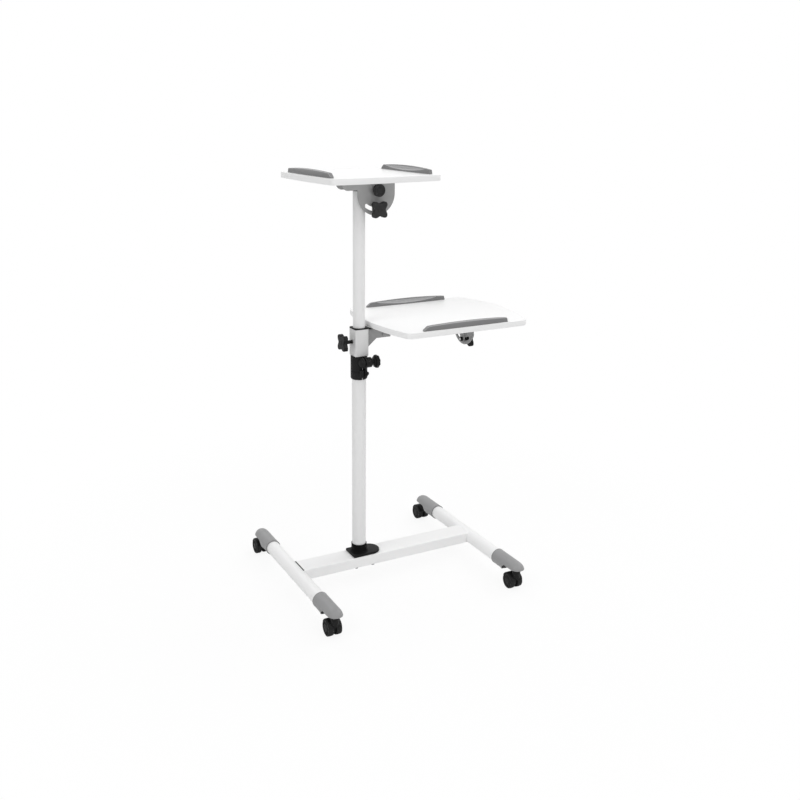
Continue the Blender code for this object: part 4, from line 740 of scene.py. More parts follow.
def makeCasterBody():
    trail, hem, width, neck, top, low, rib = pick(caster, "trail hem hoodWidth neck neckTop neckBottom rib")
    axle = wheel["radius"]
    reach = asin((hem - axle) / caster["hoodRadius"])
    outline = arc(trail, axle, caster["hoodRadius"], pi - reach, reach, 40)
    hood = moved(plate([outline], width), turn="X")
    above = hem + caster["hemKeep"]
    hood = bevelled(
        hood, caster["shoulder"], 4, caster["shoulderAngle"],
        lambda edge: max(vert.co.z for vert in edge.verts) > above,
    )
    taper, rise = caster["neckTaper"]
    line = [(0, low), (neck, low), (neck, top - rise), (neck - taper, top), (0, top)]
    half = caster["spacing"] / 2 - caster["webGap"]
    steps = [("UNION", turned(line, caster["neckEase"]))]
    for sign in (-1, 1):
        ends = sorted((sign * half, sign * width))
        steps.append(("DIFFERENCE", rod(caster["hoodBore"], *ends, "X", (0, trail, axle), 96)))
    steps.append(("UNION", rod(caster["web"], -half, half, "X", (0, trail, axle), 64)))
    ribLow = (-half + rib["gap"], rib["front"], axle + rib["aboveAxle"])
    ribHigh = (half - rib["gap"], trail + rib["pastAxle"], hem + rib["aboveHem"])
    steps.append(("UNION", block(ribLow, ribHigh)))
    stem = rod(caster["stem"], top - caster["stemInNeck"], caster["stemTop"], sides=24)
    return combined(hood, *steps), stem


def makeCasters():
    body, stem = makeCasterBody()
    wheelParts = makeWheel()
    trail, spacing = pick(caster, "trail spacing")
    level = wheel["radius"]
    axleEnd = spacing / 2 + wheel["width"] - caster["axleSunk"]
    axle = rod(caster["axle"], -axleEnd, axleEnd, "X", (0, trail, level), 24)
    for end, footX, facing in footEnds:
        name = "caster_" + end
        place = (footX, facing * caster["swivel"], 0)
        parts = movedParts([(body, "blackPlastic"), (stem, "steel"), (axle, "steel")], place)
        setPiece(name + "_frame", parts, name, [name + "_body", name + "_axle"])
        for hand, sign in (("left", -1), ("right", 1)):
            hub = (footX + sign * spacing / 2, place[1] + trail, level)
            parts = movedParts(wheelParts, hub, pointing((sign, 0, 0)))
            wheelName = name + "_wheel_" + hand
            setPiece(wheelName + "_tyre", parts, wheelName, [wheelName])


makeCasters()
print("casters ready")

# Socket that stands the column on the crossbar

socket = dict(
    left=28, right=60, halfWidth=28.5, corner=3, bottom=75.3, top=82, edge=1.9, skirt=3, skirtOut=1,
    collar=21.25, bore=19.3, collarTop=106.3, collarEase=0.7, straight=8, flare=26, flareHeight=6,
    bolts=(-16, 35), boltSide=15, headTop=44.7,
)
hexBolt = {
    "Sides": 6, "Head radius": 6.2, "Head height": 5.2, "Washer radius": 7.6, "Washer height": 1.3,
    "Crown": 0.88,
}


def makeSocket():
    half, corner, bottom, top, bore, collar, collarTop, flare = pick(
        socket, "halfWidth corner bottom top bore collar collarTop flare"
    )
    left = corner - socket["left"]
    outline = arc(left, half - corner, corner, quarter, 2 * quarter, 6)
    outline += arc(left, corner - half, corner, 2 * quarter, 3 * quarter, 6)
    outline += arc(socket["right"] - half, 0, half, -quarter, quarter, 48)
    foot = moved(plate([outline], top - bottom, socket["edge"], 3), (0, 0, (bottom + top) / 2))
    skirt = top - socket["skirt"]
    line = [(bore, skirt), (flare + socket["skirtOut"], skirt)]
    line += quarterArc((flare, top), collar - flare, socket["flareHeight"], 12)
    rim = [(collar, collarTop - socket["straight"]), (collar, collarTop), (bore, collarTop), (bore, top)]
    line += eased(rim, socket["collarEase"])
    parts = [(foot, "socketPlastic"), (lathe(line, closed=True), "collarPlastic")]
    setPiece("columnSocket", parts, "base", ["column_socket"])
    nodes = []
    points = []
    for end, boltX in zip(("left", "right"), socket["bolts"]):
        for side, sign in (("front", -1), ("back", 1)):
            nodes.append("socket_bolt_" + end + "_" + side)
            points.append((boltX, sign * socket["boltSide"], socket["headTop"]))
    heads = screwSet(points, hexBolt, (pi, 0, 0))
    setPiece("socketBolts", [(heads, "darkSteel")], "base", nodes)


makeSocket()
print("socket ready")

# Column tubes and the cap on the upper one

tubes = dict(
    outerRadius=19, outerLow=82.3, outerHigh=640, innerRadius=16, innerLow=260, innerHigh=1080, wall=2,
    lidHeight=2.5, lidRim=1.6, lidDepth=12, lidInside=2.3, lidSlope=2, lidEase=0.5,
)


def makeColumn():
    for name, body, node in (("outer", "base", "outer_tube"), ("inner", "column", "inner_tube")):
        radius, low, high = pick(tubes, f"{name}Radius {name}Low {name}High")
        tube = roundTube(radius, tubes["wall"], high - low, "columnPowder")
        tube = moved(tube, (0, 0, (high + low) / 2))
        setPiece(name + "Column", [(tube, "columnPowder")], body, [node])
    low = high + gap
    high = low + tubes["lidHeight"]
    foot = low - tubes["lidDepth"]
    inside = radius - tubes["lidInside"]
    lid = turned([
        (0, foot), (inside, foot), (inside, low), (radius, low), (radius, low + tubes["lidRim"]),
        (radius - tubes["lidSlope"], high), (0, high),
    ], tubes["lidEase"])
    setPiece("columnLid", [(lid, "blackPlastic")], "column", ["column_cap"])
    for node in ("column_glide", "sleeve_bush"):
        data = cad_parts[node].data
        data.materials.clear()
        data.materials.append(finishes["blackPlastic"])


makeColumn()
print("column ready")

# Clamp at the top of the lower tube, with its screw and the fluted knob

clamp = dict(
    radius=22.5, bore=19.3, neckBore=16.3, low=582, shoulder=640.3, high=646.5, edge=4, rim=0.6, past=4,
    slit=((-1.7, -60, 578), (1.7, -8, 650.5)), bossRadius=13.7, bossY=-29, bossLevel=631.6, bossLeft=-14,
    bossDome=11.5, bossRight=22, bossStraight=6, bossTaper=(2.5, 2), bossEase=1.2, earEdge=1.6, earHalf=9.5,
    ears=((-9.5, -32, 591), (9.5, -18, 611)), cheekFrom=5, cheekRadius=8, cheekOut=0.4, cheekEase=0.8,
    screwY=-27.5, screwLevel=601, screwEase=0.3, screwLine=[
        (0, -9.8), (2, -9.8), (2, 9.8), (4, 9.8), (4, 14.3), (2.4, 14.3), (2.1, 12.2), (0, 12.2),
    ],
    grooveLow=603, grooveHigh=606.6, grooveRadius=21.3, grooveOut=3,
    grooveSpan=((-22, -30, 582), (-8, -4, 646.5)),
)
# The points of its lines are (radius, distance from the knob's seat)
heightKnob = dict(
    seat=22.3, ease=1.0, neckEase=0.5, stem=4, stemReach=34,
    flutes={"Lobes": 8.0, "Depth": 1.8, "Start": 0.4, "Width": 0.7, "Rim": 14.0},
    line=[(0, 9), (13, 9), (17.4, 10), (18, 17.5), (15.5, 20), (13, 20), (12, 18.8), (4, 19), (0, 19)],
    neckLine=[(0, 11), (11, 11), (11, 8.5), (6, 4), (6, 0), (0, 0)],
)


def makeClamp():
    radius, bore, neckBore, low, high, shoulder, edge, rim = pick(
        clamp, "radius bore neckBore low high shoulder edge rim"
    )
    line = [(0, high), (radius - rim, high), (radius, high - rim)]
    line += arc(radius - edge, low + edge, edge, 0, -quarter, 6) + [(0, low)]
    across, left, right = pick(clamp, "bossRadius bossLeft bossRight")
    taper, rise = clamp["bossTaper"]
    boss = quarterArc((0, left), across, clamp["bossDome"], 8)
    boss += eased([
        (across, right - clamp["bossStraight"]), (across, right - rise), (across - taper, right), (0, right),
    ], clamp["bossEase"])
    boss = moved(lathe(boss, 64), (0, clamp["bossY"], clamp["bossLevel"]), "X")
    ears = bevelled(block(*clamp["ears"]), clamp["earEdge"], 3)
    start, across = pick(clamp, "cheekFrom cheekRadius")
    end = clamp["earHalf"] + clamp["cheekOut"]
    cheek = turned([(0, start), (across, start), (across, end), (0, end)], clamp["cheekEase"], 40)
    screwPlace = (0, clamp["screwY"], clamp["screwLevel"])
    cheek = moved(cheek, screwPlace, "X")
    above = high + clamp["past"]
    below = low - clamp["past"]
    hollow = lathe([
        (0, above), (neckBore, above), (neckBore, shoulder), (bore, shoulder), (bore, below), (0, below),
    ])
    inner, low, high = pick(clamp, "grooveRadius grooveLow grooveHigh")
    outer = radius + clamp["grooveOut"]
    groove = lathe([(inner, low), (outer, low), (outer, high), (inner, high)], closed=True)
    groove = combined(groove, ("INTERSECT", block(*clamp["grooveSpan"])))
    collar = combined(
        lathe(line), ("UNION", boss), ("UNION", ears), ("UNION", cheek), ("DIFFERENCE", hollow),
        ("DIFFERENCE", block(*clamp["slit"])), ("DIFFERENCE", groove),
    )
    setPiece("heightClamp", [(collar, "blackPlastic")], "base", ["clamp_collar"])
    screw = moved(turned(clamp["screwLine"], clamp["screwEase"], 32), screwPlace, "X")
    setPiece("clampScrew", [(screw, "blackPlastic")], "base", ["clamp_screw"])


def makeHeightKnob():
    look = heightKnob
    body = grown(lobeTree, turned(look["line"], look["ease"], 180), look["flutes"], "blackPlastic")
    neck = turned(look["neckLine"], look["neckEase"], 40)
    stem = rod(look["stem"], 1, -look["stemReach"], sides=32)
    parts = [(body, "blackPlastic"), (neck, "blackPlastic"), (stem, "steel")]
    parts = movedParts(parts, (look["seat"], clamp["bossY"], clamp["bossLevel"]), "X")
    setPiece("heightKnobBody", parts, "height_knob", ["height_knob"], angle=40)


makeClamp()
makeHeightKnob()
print("clamp ready")

# Four-lobed knobs

lobedKnob = dict(
    radius=26.4, thickness=12, edge=3.2, rings=8, collar=9, collarLow=1, collarHigh=3, neckTop=4,
    waist=0.8, waistAt=2.5, foot=1.5, stem=4,
    hub=[(0, -1), (7.4, -1), (6.8, 0.5), (5, 0.5), (4.6, 0.1), (0, 0.1)], hubEase=0.4, neckEase=0.5,
    lobes={"Lobes": 4.0, "Depth": 10.8, "Start": pi / 4, "Width": 1.0, "Rim": 23.8},
)
knobPlaces = {
    "sleeve": dict(
        seat=(-20.3, 0, 684.8), axis=(-1, 0, 0), stand=21, neck=5.5, stemReach=4, finish="blackPlastic",
    ),
    # The upper lock knob takes the lighter black, which is painted light
    "upper_lock": dict(
        seat=(39.5, -21.2, 1033), axis=(0, -1, 0), stand=10, neck=8, stemReach=13.4, finish="satinBlack",
    ),
    "lower_lock": dict(
        seat=(328.9, 0, 655), axis=(1, 0, 0), stand=8, neck=8, stemReach=13.4, finish="blackPlastic",
    ),
}


def makeLobedKnob(name, onHead=False):
    spot = knobPlaces[name]
    low, neck, finish = pick(spot, "stand neck finish")
    radius, count, collar, foot = pick(lobedKnob, "radius rings collar foot")
    high = low + lobedKnob["thickness"]
    rings = [radius * step / count for step in range(1, count)]
    rim = [(rings[-1], low), (radius, low), (radius, high), (rings[-1], high)]
    line = [(0, low)] + [(across, low) for across in rings] + eased(rim, lobedKnob["edge"], 6)[1:-1]
    line += [(across, high) for across in reversed(rings)] + [(0, high)]
    body = grown(lobeTree, lathe(line, 160), lobedKnob["lobes"], finish)
    hub = turned([(across, high + up) for across, up in lobedKnob["hub"]], lobedKnob["hubEase"], 48)
    top = low + lobedKnob["collarHigh"]
    waist = (neck * lobedKnob["waist"], lobedKnob["waistAt"])
    shank = turned([
        (0, top), (collar, top), (collar, low - lobedKnob["collarLow"]), (neck, low - lobedKnob["neckTop"]),
        waist, (neck, foot), (neck, 0), (0, 0),
    ], lobedKnob["neckEase"], 48)
    stem = rod(lobedKnob["stem"], 1, -spot["stemReach"], sides=32)
    parts = [(mesh, finish) for mesh in (body, hub, shank)] + [(stem, "steel")]
    parts = movedParts(parts, spot["seat"], pointing(spot["axis"]))
    node = name + "_knob"
    setPiece(node + "_body", parts, node, [node], onHead=onHead, angle=40)


makeLobedKnob("sleeve")
makeLobedKnob("upper_lock", onHead=True)
makeLobedKnob("lower_lock")
print("knobs ready")

# Sleeve and arm of the lower shelf

sleeve = dict(
    half=20, wall=2, corner=5, edge=0.5, low=646.8, high=719, stemLevel=684.8, stemHole=4.4,
    wallDrill=(-25, -15), bore=16.3, lip=3.2, lipEdge=0.4, linerShadeTab=((16.5, -17, 717.8), (27.2, 19.4, 720.6)),
    padEdge=0.4, padGap=0.4, padCut=(700, 740), coreCorner=3, coreShorter=6, coreLift=2.7,
    coreDrill=(-30, -12),
)
arm = dict(
    start=20.6, end=322, half=10, wall=1.5, corner=1.8, level=704, plateLow=322.3, plateHigh=325.3,
    plateEdge=0.3, lockLevel=655, nutX=318.8, nut=(6.5, 6.4, 0.5), pivotLevel=702, pivotX=328.9,
    pivotEase=0.4, pivotLine=[
        (0, -12.4), (6, -12.4), (6, -6.9), (4, -6.9), (4, 0), (9, 0), (9, 2.4), (7.4, 4), (0, 4),
    ],
)
root = dict(
    start=20.3, end=88.3, half=12, floor=690, top=715, gussetFoot=668, gussetReach=26, ease=1.2, edge=0.5,
    floorSheet=3.7, cutPast=4, cutAbove=6, boltX=66.3, boltLevel=699.5,
)
rootBolt = {
    "Sides": 6, "Head radius": 3.6, "Head height": 1.9, "Washer radius": 4.2, "Washer height": 0.6,
    "Crown": 0.85,
}


def makeSleeve():
    half, corner, low, high, bore, lipHeight, drill, level = pick(
        sleeve, "half corner low high bore lip stemHole stemLevel"
    )
    inside = half - sleeve["wall"]
    rim = roundedRectangle(half, half, corner)
    hollow = roundedRectangle(inside, inside, corner - sleeve["wall"])
    height = high - low
    shell = moved(plate([rim, hollow], height, sleeve["edge"]), (0, 0, (low + high) / 2))
    hole = rod(drill, *sleeve["wallDrill"], "X", (0, 0, level), 40)
    shell = combined(shell, ("DIFFERENCE", hole))
    setPiece("sleeveTube", [(shell, "sleevePowder")], "lower_arm", ["lower_sleeve"])
    lip = plate([rim, circle(bore, 64)], lipHeight, sleeve["lipEdge"])
    lip = moved(lip, (0, 0, high + gap + lipHeight / 2))
    # The black tab beside the liner fills the dark gap by the board: partly the liner's lip, partly painted
    # shade
    linerShadeTab = bevelled(block(*sleeve["linerShadeTab"]), sleeve["padEdge"])
    linerShadeTab = combined(linerShadeTab, ("DIFFERENCE", rod(bore + sleeve["padGap"], *sleeve["padCut"], sides=64)))
    inside -= gap
    section = [roundedRectangle(inside, inside, sleeve["coreCorner"]), circle(bore, 64)]
    core = plate(section, height - sleeve["coreShorter"])
    core = moved(core, (0, 0, low + height / 2 + sleeve["coreLift"]))
    hole = rod(drill, *sleeve["coreDrill"], "X", (0, 0, level), 24)
    core = combined(core, ("DIFFERENCE", hole))
    parts = [(mesh, "linerPlastic") for mesh in (lip, core, linerShadeTab)]
    setPiece("sleeveLiner", parts, "lower_arm", ["sleeve_liner"])


def makeArm():
    half = arm["half"]
    inside = half - arm["wall"]
    rim = roundedRectangle(half, half, arm["corner"])
    hollow = roundedRectangle(inside, inside, arm["corner"] / 2)
    tube = plate([rim, hollow], arm["end"] - arm["start"])
    tube = moved(tube, ((arm["start"] + arm["end"]) / 2, 0, arm["level"]), "X")
    setPiece("armTube", [(tube, "armPowder")], "lower_arm", ["arm_tube"])
    start, end, floor, top, past = pick(root, "start end floor top cutPast")
    wedge = eased([
        (start, root["gussetFoot"]), (start + root["gussetReach"], floor), (end, floor), (end, top),
        (start, top),
    ], root["ease"], 3, closed=True)
    bracket = moved(plate([wedge], 2 * root["half"], root["edge"]), turn="Y")
    side = half + gap
    low = (start - past, -side, floor + root["floorSheet"])
    channel = block(low, (end + past, side, top + root["cutAbove"]))
    bracket = combined(bracket, ("DIFFERENCE", channel))
    setPiece("rootBracket", [(bracket, "bracketPowder")], "lower_arm", ["root_bracket"])
    bolts = []
    for sign in (-1, 1):
        point = (root["boltX"], sign * (root["half"] + gap), root["boltLevel"])
        bolts.append((screwSet([point], rootBolt, (-sign * quarter, 0, 0)), "armPowder"))
    setPiece("rootBolts", bolts, "lower_arm", ["root_bolt"])


def makeNut(radius, depth, edge):
    return plate([circle(radius, 6), circle(nutBore, 24)], depth, edge)


def makeArmEnd():
    half, low, high, lock, pivot = pick(arm, "half plateLow plateHigh lockLevel pivotLevel")
    top = arm["level"] + half
    outline = [(half, top), (-half, top)] + arc(0, lock, half, pi, 2 * pi, 32)
    holes = [circle(boltHole, 24, 0, level) for level in (pivot, lock)]
    end = plate([outline] + holes, high - low, arm["plateEdge"])
    end = moved(end, ((low + high) / 2, 0, 0), "X")
    setPiece("armEndPlate", [(end, "armPowder")], "lower_arm", ["arm_end_plate"])
    bolt = turned(arm["pivotLine"], arm["pivotEase"], 48)
    bolt = moved(bolt, (arm["pivotX"], 0, pivot), "X")
    setPiece("lowerPivot", [(bolt, "blackPlastic")], "lower_arm", ["lower_pivot_bolt"])
    nut = moved(makeNut(*arm["nut"]), (arm["nutX"], 0, lock), "X")
    setPiece("lowerLockNut", [(nut, "blackPlastic")], "lower_arm", ["lower_lock_nut"])


makeSleeve()
makeArm()
makeArmEnd()
print("arm ready")

# Tilt brackets

lowerTilt = dict(
    start=199.1, earLow=325.6, earHigh=328.6, edge=0.4, half=51, arcLevel=691, top=719.9, pivot=702,
    slotRadius=47, slotWidth=9.5, slotHalf=radians(34), webHalf=45, sheet=2, webEase=0.7, webEdge=0.2,
    webInEar=1, flangeLow=708.2, screwsX=(215.1, 303.1), screwsY=(-30, 30),
)
upperTilt = dict(
    axisX=39.5, axisZ=1082, half=55, arcDrop=10, top=1109.2, slotRadius=49, slotWidth=10,
    slotHalf=radians(37), reach=-60.5, backReach=-56.5, flangeLow=1083, corner=18, sheet=2, edge=0.35,
    sheetMiddle=19.9, lobe=16, webEdge=0.4, screwsX=(-44, 76), screwsY=(-9, 9),
)
boardScrew = {
    "Sides": 24, "Head radius": 3.4, "Head height": 2.0, "Washer radius": 4.6, "Washer height": 0.7,
    "Crown": 0.55,
}


def arcSlot(look, centreX, centreY, steps=28):
    radius, half, halfAngle = look["slotRadius"], look["slotWidth"] / 2, look["slotHalf"]
    left = -quarter - halfAngle
    right = -quarter + halfAngle
    endX = radius * sin(halfAngle)
    endY = centreY - radius * cos(halfAngle)
    points = arc(centreX, centreY, radius + half, left, right, steps)
    points += arc(centreX + endX, endY, half, right, right + pi, 10)[1:-1]
    points += arc(centreX, centreY, radius - half, right, left, steps)
    points += arc(centreX - endX, endY, half, left - pi, left, 10)[1:-1]
    return points


def boardScrews(look):
    level = look["top"] - look["sheet"]
    points = [(screwX, screwY, level) for screwX in look["screwsX"] for screwY in look["screwsY"]]
    return screwSet(points, boardScrew, (pi, 0, 0))


def makeLowerTilt():
    look = lowerTilt
    half, top, sheet, low, start = pick(look, "webHalf top sheet flangeLow start")
    outline = [(look["half"], top), (-look["half"], top)]
    outline += arc(0, look["arcLevel"], look["half"], pi, 2 * pi, 72)
    slot = arcSlot(look, 0, look["pivot"])
    hole = circle(boltHole, 24, 0, look["pivot"])
    ear = plate([outline, slot, hole], look["earHigh"] - look["earLow"], look["edge"])
    ear = moved(ear, ((look["earLow"] + look["earHigh"]) / 2, 0, 0), "X")
    inside = half - sheet
    under = top - sheet
    section = eased([
        (-half, low), (-half, top), (half, top), (half, low), (inside, low), (inside, under),
        (-inside, under), (-inside, low),
    ], look["webEase"], 4, closed=True)
    length = look["earLow"] - start + look["webInEar"]
    channel = moved(plate([section], length, look["webEdge"]), (start + length / 2, 0, 0), "X")
    parts = [(ear, "armPowder"), (channel, "armPowder"), (boardScrews(look), "steel")]
    setPiece("lowerTiltBracket", parts, "lower_shelf", ["lower_tilt_bracket"])


def channelSheet(look, reach, lobe, lobeLevel, holes, side):
    corner, axisX, low, half, top = pick(look, "corner axisX flangeLow half top")
    outline = arc(reach + corner, low + corner, corner, pi, 3 * quarter, 12)
    outline.append((axisX - lobe, low))
    outline += arc(axisX, lobeLevel, lobe, pi, 2 * pi, 80)
    if lobe < half:
        outline += [(axisX + lobe, low), (axisX + half, low)]
    outline += [(axisX + half, top), (reach, top)]
    sheet = plate([outline] + holes, look["sheet"], look["edge"])
    return moved(sheet, (0, side * look["sheetMiddle"], 0), "Y")


def makeUpperTilt():
    look = upperTilt
    axisX, axisZ, half, top, middle, back = pick(look, "axisX axisZ half top sheetMiddle backReach")
    slot = arcSlot(look, axisX, axisZ)
    hole = circle(boltHole, 24, axisX, axisZ)
    front = channelSheet(look, look["reach"], half, axisZ - look["arcDrop"], [slot, hole], -1)
    rear = channelSheet(look, back, look["lobe"], axisZ, [hole], 1)
    web = bevelled(block((back, -middle, top - look["sheet"]), (axisX + half, middle, top)), look["webEdge"])
    parts = [(mesh, "headPowder") for mesh in (front, rear, web)] + [(boardScrews(look), "steel")]
    setPiece("upperTiltBracket", parts, "upper_shelf", ["upper_tilt_channel"], onHead=True)


makeLowerTilt()
makeUpperTilt()
print("tilt brackets ready")

# Head of the column: block, cheeks and tongue under the upper shelf

head = dict(
    left=-2, wall=20, half=18.6, low=1052, high=1074, lobe=16, bore=16.3, yokeEdge=0.4, cheekInside=4,
    cheekY=17.6, sheet=2, edge=0.3, tongueHalf=11, tongueY=-17.5, lockZ=1033, bossY=-17.4, bossRadius=6.5,
    bossHeight=7, ease=0.4, discY=-21.2, discEase=0.6, discLine=[
        (0, -47.4), (4, -47.4), (4, 0), (6, 0), (6, 8), (15.5, 8), (16.5, 9), (16.5, 17), (14.5, 19),
        (11.5, 19), (10.5, 17.8), (6.5, 17.8), (6, 18.8), (0, 19),
    ],
    nutY=23.7, nut=(7.5, 5, 0.6),
)


def makeHead():
    axisX, axisZ = pick(upperTilt, "axisX axisZ")
    left, wall, half, bore, low, high, lobe, tongueHalf, lock = pick(
        head, "left wall half bore low high lobe tongueHalf lockZ"
    )
    mouth = acos(left / bore)
    section = [(left, -half), (wall, -half), (wall, half), (left, half)] + arc(0, 0, bore, mouth, -mouth, 40)
    yoke = plate([section], high - low, head["yokeEdge"])
    parts = [(moved(yoke, (0, 0, (high + low) / 2)), "headPowder")]
    inside = left + head["cheekInside"]
    outline = arc(axisX, axisZ, lobe, 0, pi, 36)
    outline += [(axisX - lobe, high), (inside, high), (inside, low), (axisX + lobe, low)]
    tongue = arc(axisX, lock, tongueHalf, pi, 2 * pi, 32)
    tongue += [(axisX + tongueHalf, high), (axisX - tongueHalf, high)]
    for rim, holeZ, sheetY in (
        (outline, axisZ, -head["cheekY"]), (outline, axisZ, head["cheekY"]), (tongue, lock, head["tongueY"]),
    ):
        sheet = plate([rim, circle(boltHole, 24, axisX, holeZ)], head["sheet"], head["edge"])
        parts.append((moved(sheet, (0, sheetY, 0), "Y"), "headPowder"))
    radius, height = pick(head, "bossRadius bossHeight")
    line = [(boltHole, 0), (radius, 0), (radius, height), (boltHole, height)]
    boss = turned(line, head["ease"], 40, closed=True)
    parts.append((moved(boss, (axisX, head["bossY"], lock), pointing((0, 1, 0))), "headPowder"))
    setPiece("headBracket", parts, "column", ["head_bracket"], onHead=True)
    disc = turned(head["discLine"], head["discEase"], 96)
    # The pivot disc takes the lighter black, which is painted light
    parts = [(moved(disc, (axisX, head["discY"], axisZ), pointing((0, -1, 0))), "satinBlack")]
    setPiece("upperPivotDisc", parts, "column", ["upper_pivot_bolt"], onHead=True)
    nut = moved(makeNut(*head["nut"]), (axisX, head["nutY"], axisZ), "Y")
    setPiece("upperPivotNut", [(nut, "steel")], "column", ["upper_pivot_nut"], onHead=True)


makeHead()
print("head ready")

# Boards with banded edges, which carry some painted shade, and the rails on them, with painted highlights

boards = {
    "upper": dict(
        left=-151.3, right=156.7, front=-144, back=152, bows=(6, 6, 6, 6), radii=(12, 12, 12, 12),
        bottom=1109.5, top=1124.5,
    ),
    "lower": dict(
        left=55.2, right=416.7, front=-173, back=173, bows=(0, 39.3, 0, 27.2), radii=(16, 20, 20, 16),
        bottom=720.2, top=735.2,
    ),
}
boardEdge = 1.0
stops = {
    "upper_stop_left": dict(length=240, place=(-139.5, -0.5), turn=quarter, mirrored=True),
    "upper_stop_right": dict(length=240, place=(140.5, 0), turn=-quarter, mirrored=True),
    "lower_stop_front": dict(length=257, place=(229, -164), turn=0, mirrored=False),
    "lower_stop_back": dict(length=257, place=(231.5, 160), turn=0, mirrored=True),
}
stopLook = dict(
    thickness=14, bulge=2.2, corner=3, cornerSteps=5, steps=64, weld=0.02, ridge=2.6, band=5, bandGap=0.6,
    endHeight=10.5, middleHeight=15.5, tipHeight=1.5, taper=13, endSlope=3, slopeLength=30, scoopHalf=98,
    scoopPower=0.6, scoopFoot=3.4, rim=2.4, rimOut=0.5, wallOut=1.3, wallUp=0.35, roundSteps=5,
    paintedLightFaces=(4, 5, 8, 9),
)


def bowedOutline(corners, bows, radii, sideSteps=24, cornerSteps=8):
    sides = []
    count = len(corners)
    for index, (start, bow) in enumerate(zip(corners, bows)):
        end = corners[(index + 1) % count]
        alongX = end[0] - start[0]
        alongY = end[1] - start[1]
        length = hypot(alongX, alongY)
        first = radii[index] / length
        last = 1 - radii[(index + 1) % count] / length
        side = []
        for step in range(sideSteps + 1):
            share = first + (last - first) * step / sideSteps
            bulge = 4 * bow * share * (1 - share) / length
            place = (start[0] + alongX * share + alongY * bulge, start[1] + alongY * share - alongX * bulge)
            side.append(place)
        sides.append(side)
    points = []
    for index, side in enumerate(sides):
        ends = list(zip(sides[index - 1][-1], corners[index], side[0]))
        for step in range(1, cornerSteps):
            points.append(tuple(bend(*values, step / cornerSteps) for values in ends))
        points += side
    return points


def makeBoards():
    for name, look in boards.items():
        left, right, front, back, low, high = pick(look, "left right front back bottom top")
        corners = [(left, front), (right, front), (right, back), (left, back)]
        slab = plate([bowedOutline(corners, look["bows"], look["radii"])], high - low, boardEdge, 3)
        # Flat faces take the face finish. The sides take the darker edge finish, which is partly painted
        # shade
        parts = [(moved(slab, (0, 0, (low + high) / 2)), ("boardFace", "boardEdge"))]
        shelf = name + "_shelf"
        setPiece(name + "Board", parts, shelf, [name + "_board"], onHead=name == "upper")


def stopSection(along, length):
    # Points across the rail from its outer foot over the top to its inner foot, with the scoop on that side
    look = stopLook
    corner, ridge, taper, tip, gapUnder = pick(look, "corner ridge taper tipHeight bandGap")
    half = length / 2
    share = along / half
    wide = look["thickness"] / 2 - look["bulge"] * share ** 2
    past = max(0.0, abs(along) - half + corner)
    wide -= corner - sqrt(corner ** 2 - past ** 2)
    rise = look["middleHeight"] - look["endHeight"]
    high = look["endHeight"] + rise * (1 - share ** 2)
    if along < taper - half:
        high = tip + (high - tip) * (along + half) / taper
    outer = max(0.0, 1 - share ** 2) ** 0.5
    scoop = max(0.0, 1 - (along / look["scoopHalf"]) ** 2) ** look["scoopPower"]
    band = high - gapUnder - outer * (high - gapUnder - look["band"])
    foot = high - scoop * (high - look["scoopFoot"])
    rim = high - scoop * look["rim"]
    points = [(-wide, 0), (-wide, band)]
    for step in range(1, look["roundSteps"] + 1):
        angle = quarter * step / look["roundSteps"]
        inwards = 1 - cos(angle)
        across = wide - (wide - ridge) * outer * inwards - gapUnder * (1 - outer) * inwards
        points.append((-across, band + (high - band) * sin(angle)))
    points += [
        (wide - scoop * (wide - ridge), high), (wide - scoop * (wide - ridge - look["rimOut"]), rim),
        (wide - scoop * (wide - ridge - look["wallOut"]), foot + (rim - foot) * look["wallUp"]),
        (wide, foot), (wide, 0),
    ]
    slope = look["endSlope"] * smoothStep((along - half + look["slopeLength"]) / look["slopeLength"])
    return [(along - slope * up / high, across, up) for across, up in points]


def makeStopShape(length):
    half = length / 2
    corner, cornerSteps, steps = pick(stopLook, "corner cornerSteps steps")
    angles = [quarter * step / cornerSteps for step in range(cornerSteps + 1)]
    inside = half - corner
    stations = [-half + corner * (1 - cos(angle)) for angle in angles[:-1]]
    stations += [-inside + 2 * inside * step / steps for step in range(steps + 1)]
    stations += [inside + corner * sin(angle) for angle in angles[1:]]
    shape = bmesh.new()
    rows = [[shape.verts.new(point) for point in stopSection(along, length)] for along in stations]
    count = len(rows[0])
    for first, second in zip(rows, rows[1:]):
        for index in range(count):
            following = (index + 1) % count
            face = shape.faces.new((first[index], first[following], second[following], second[index]))
            # The faces by the ridge and in the scoop take the lighter finish, a painted highlight
            face.material_index = 1 if index in stopLook["paintedLightFaces"] else 0
    shape.faces.new(rows[0])
    shape.faces.new(rows[-1])
    return meshOf(shape, stopLook["weld"])


def makeStops():
    # The scoop lies on the side of +Y; the mirrored rail has it on the other one
    mirror = Matrix.Scale(-1, 4, (0, 1, 0))
    for name, look in stops.items():
        board = name.split("_")[0]
        rail = makeStopShape(look["length"])
        if look["mirrored"]:
            rail = meshOf(shapeOf(moved(rail, turn=mirror)))
        place = (*look["place"], boards[board]["top"] + gap)
        rail = moved(rail, place, Matrix.Rotation(look["turn"], 4, "Z"))
        parts = [(rail, ["stopPlastic", "stopPaintedLight"])]
        shelf = board + "_shelf"
        setPiece(name + "_rail", parts, shelf, [name], onHead=board == "upper", angle=24)


makeBoards()
makeStops()
print("shelves ready")

# Floor, light and camera

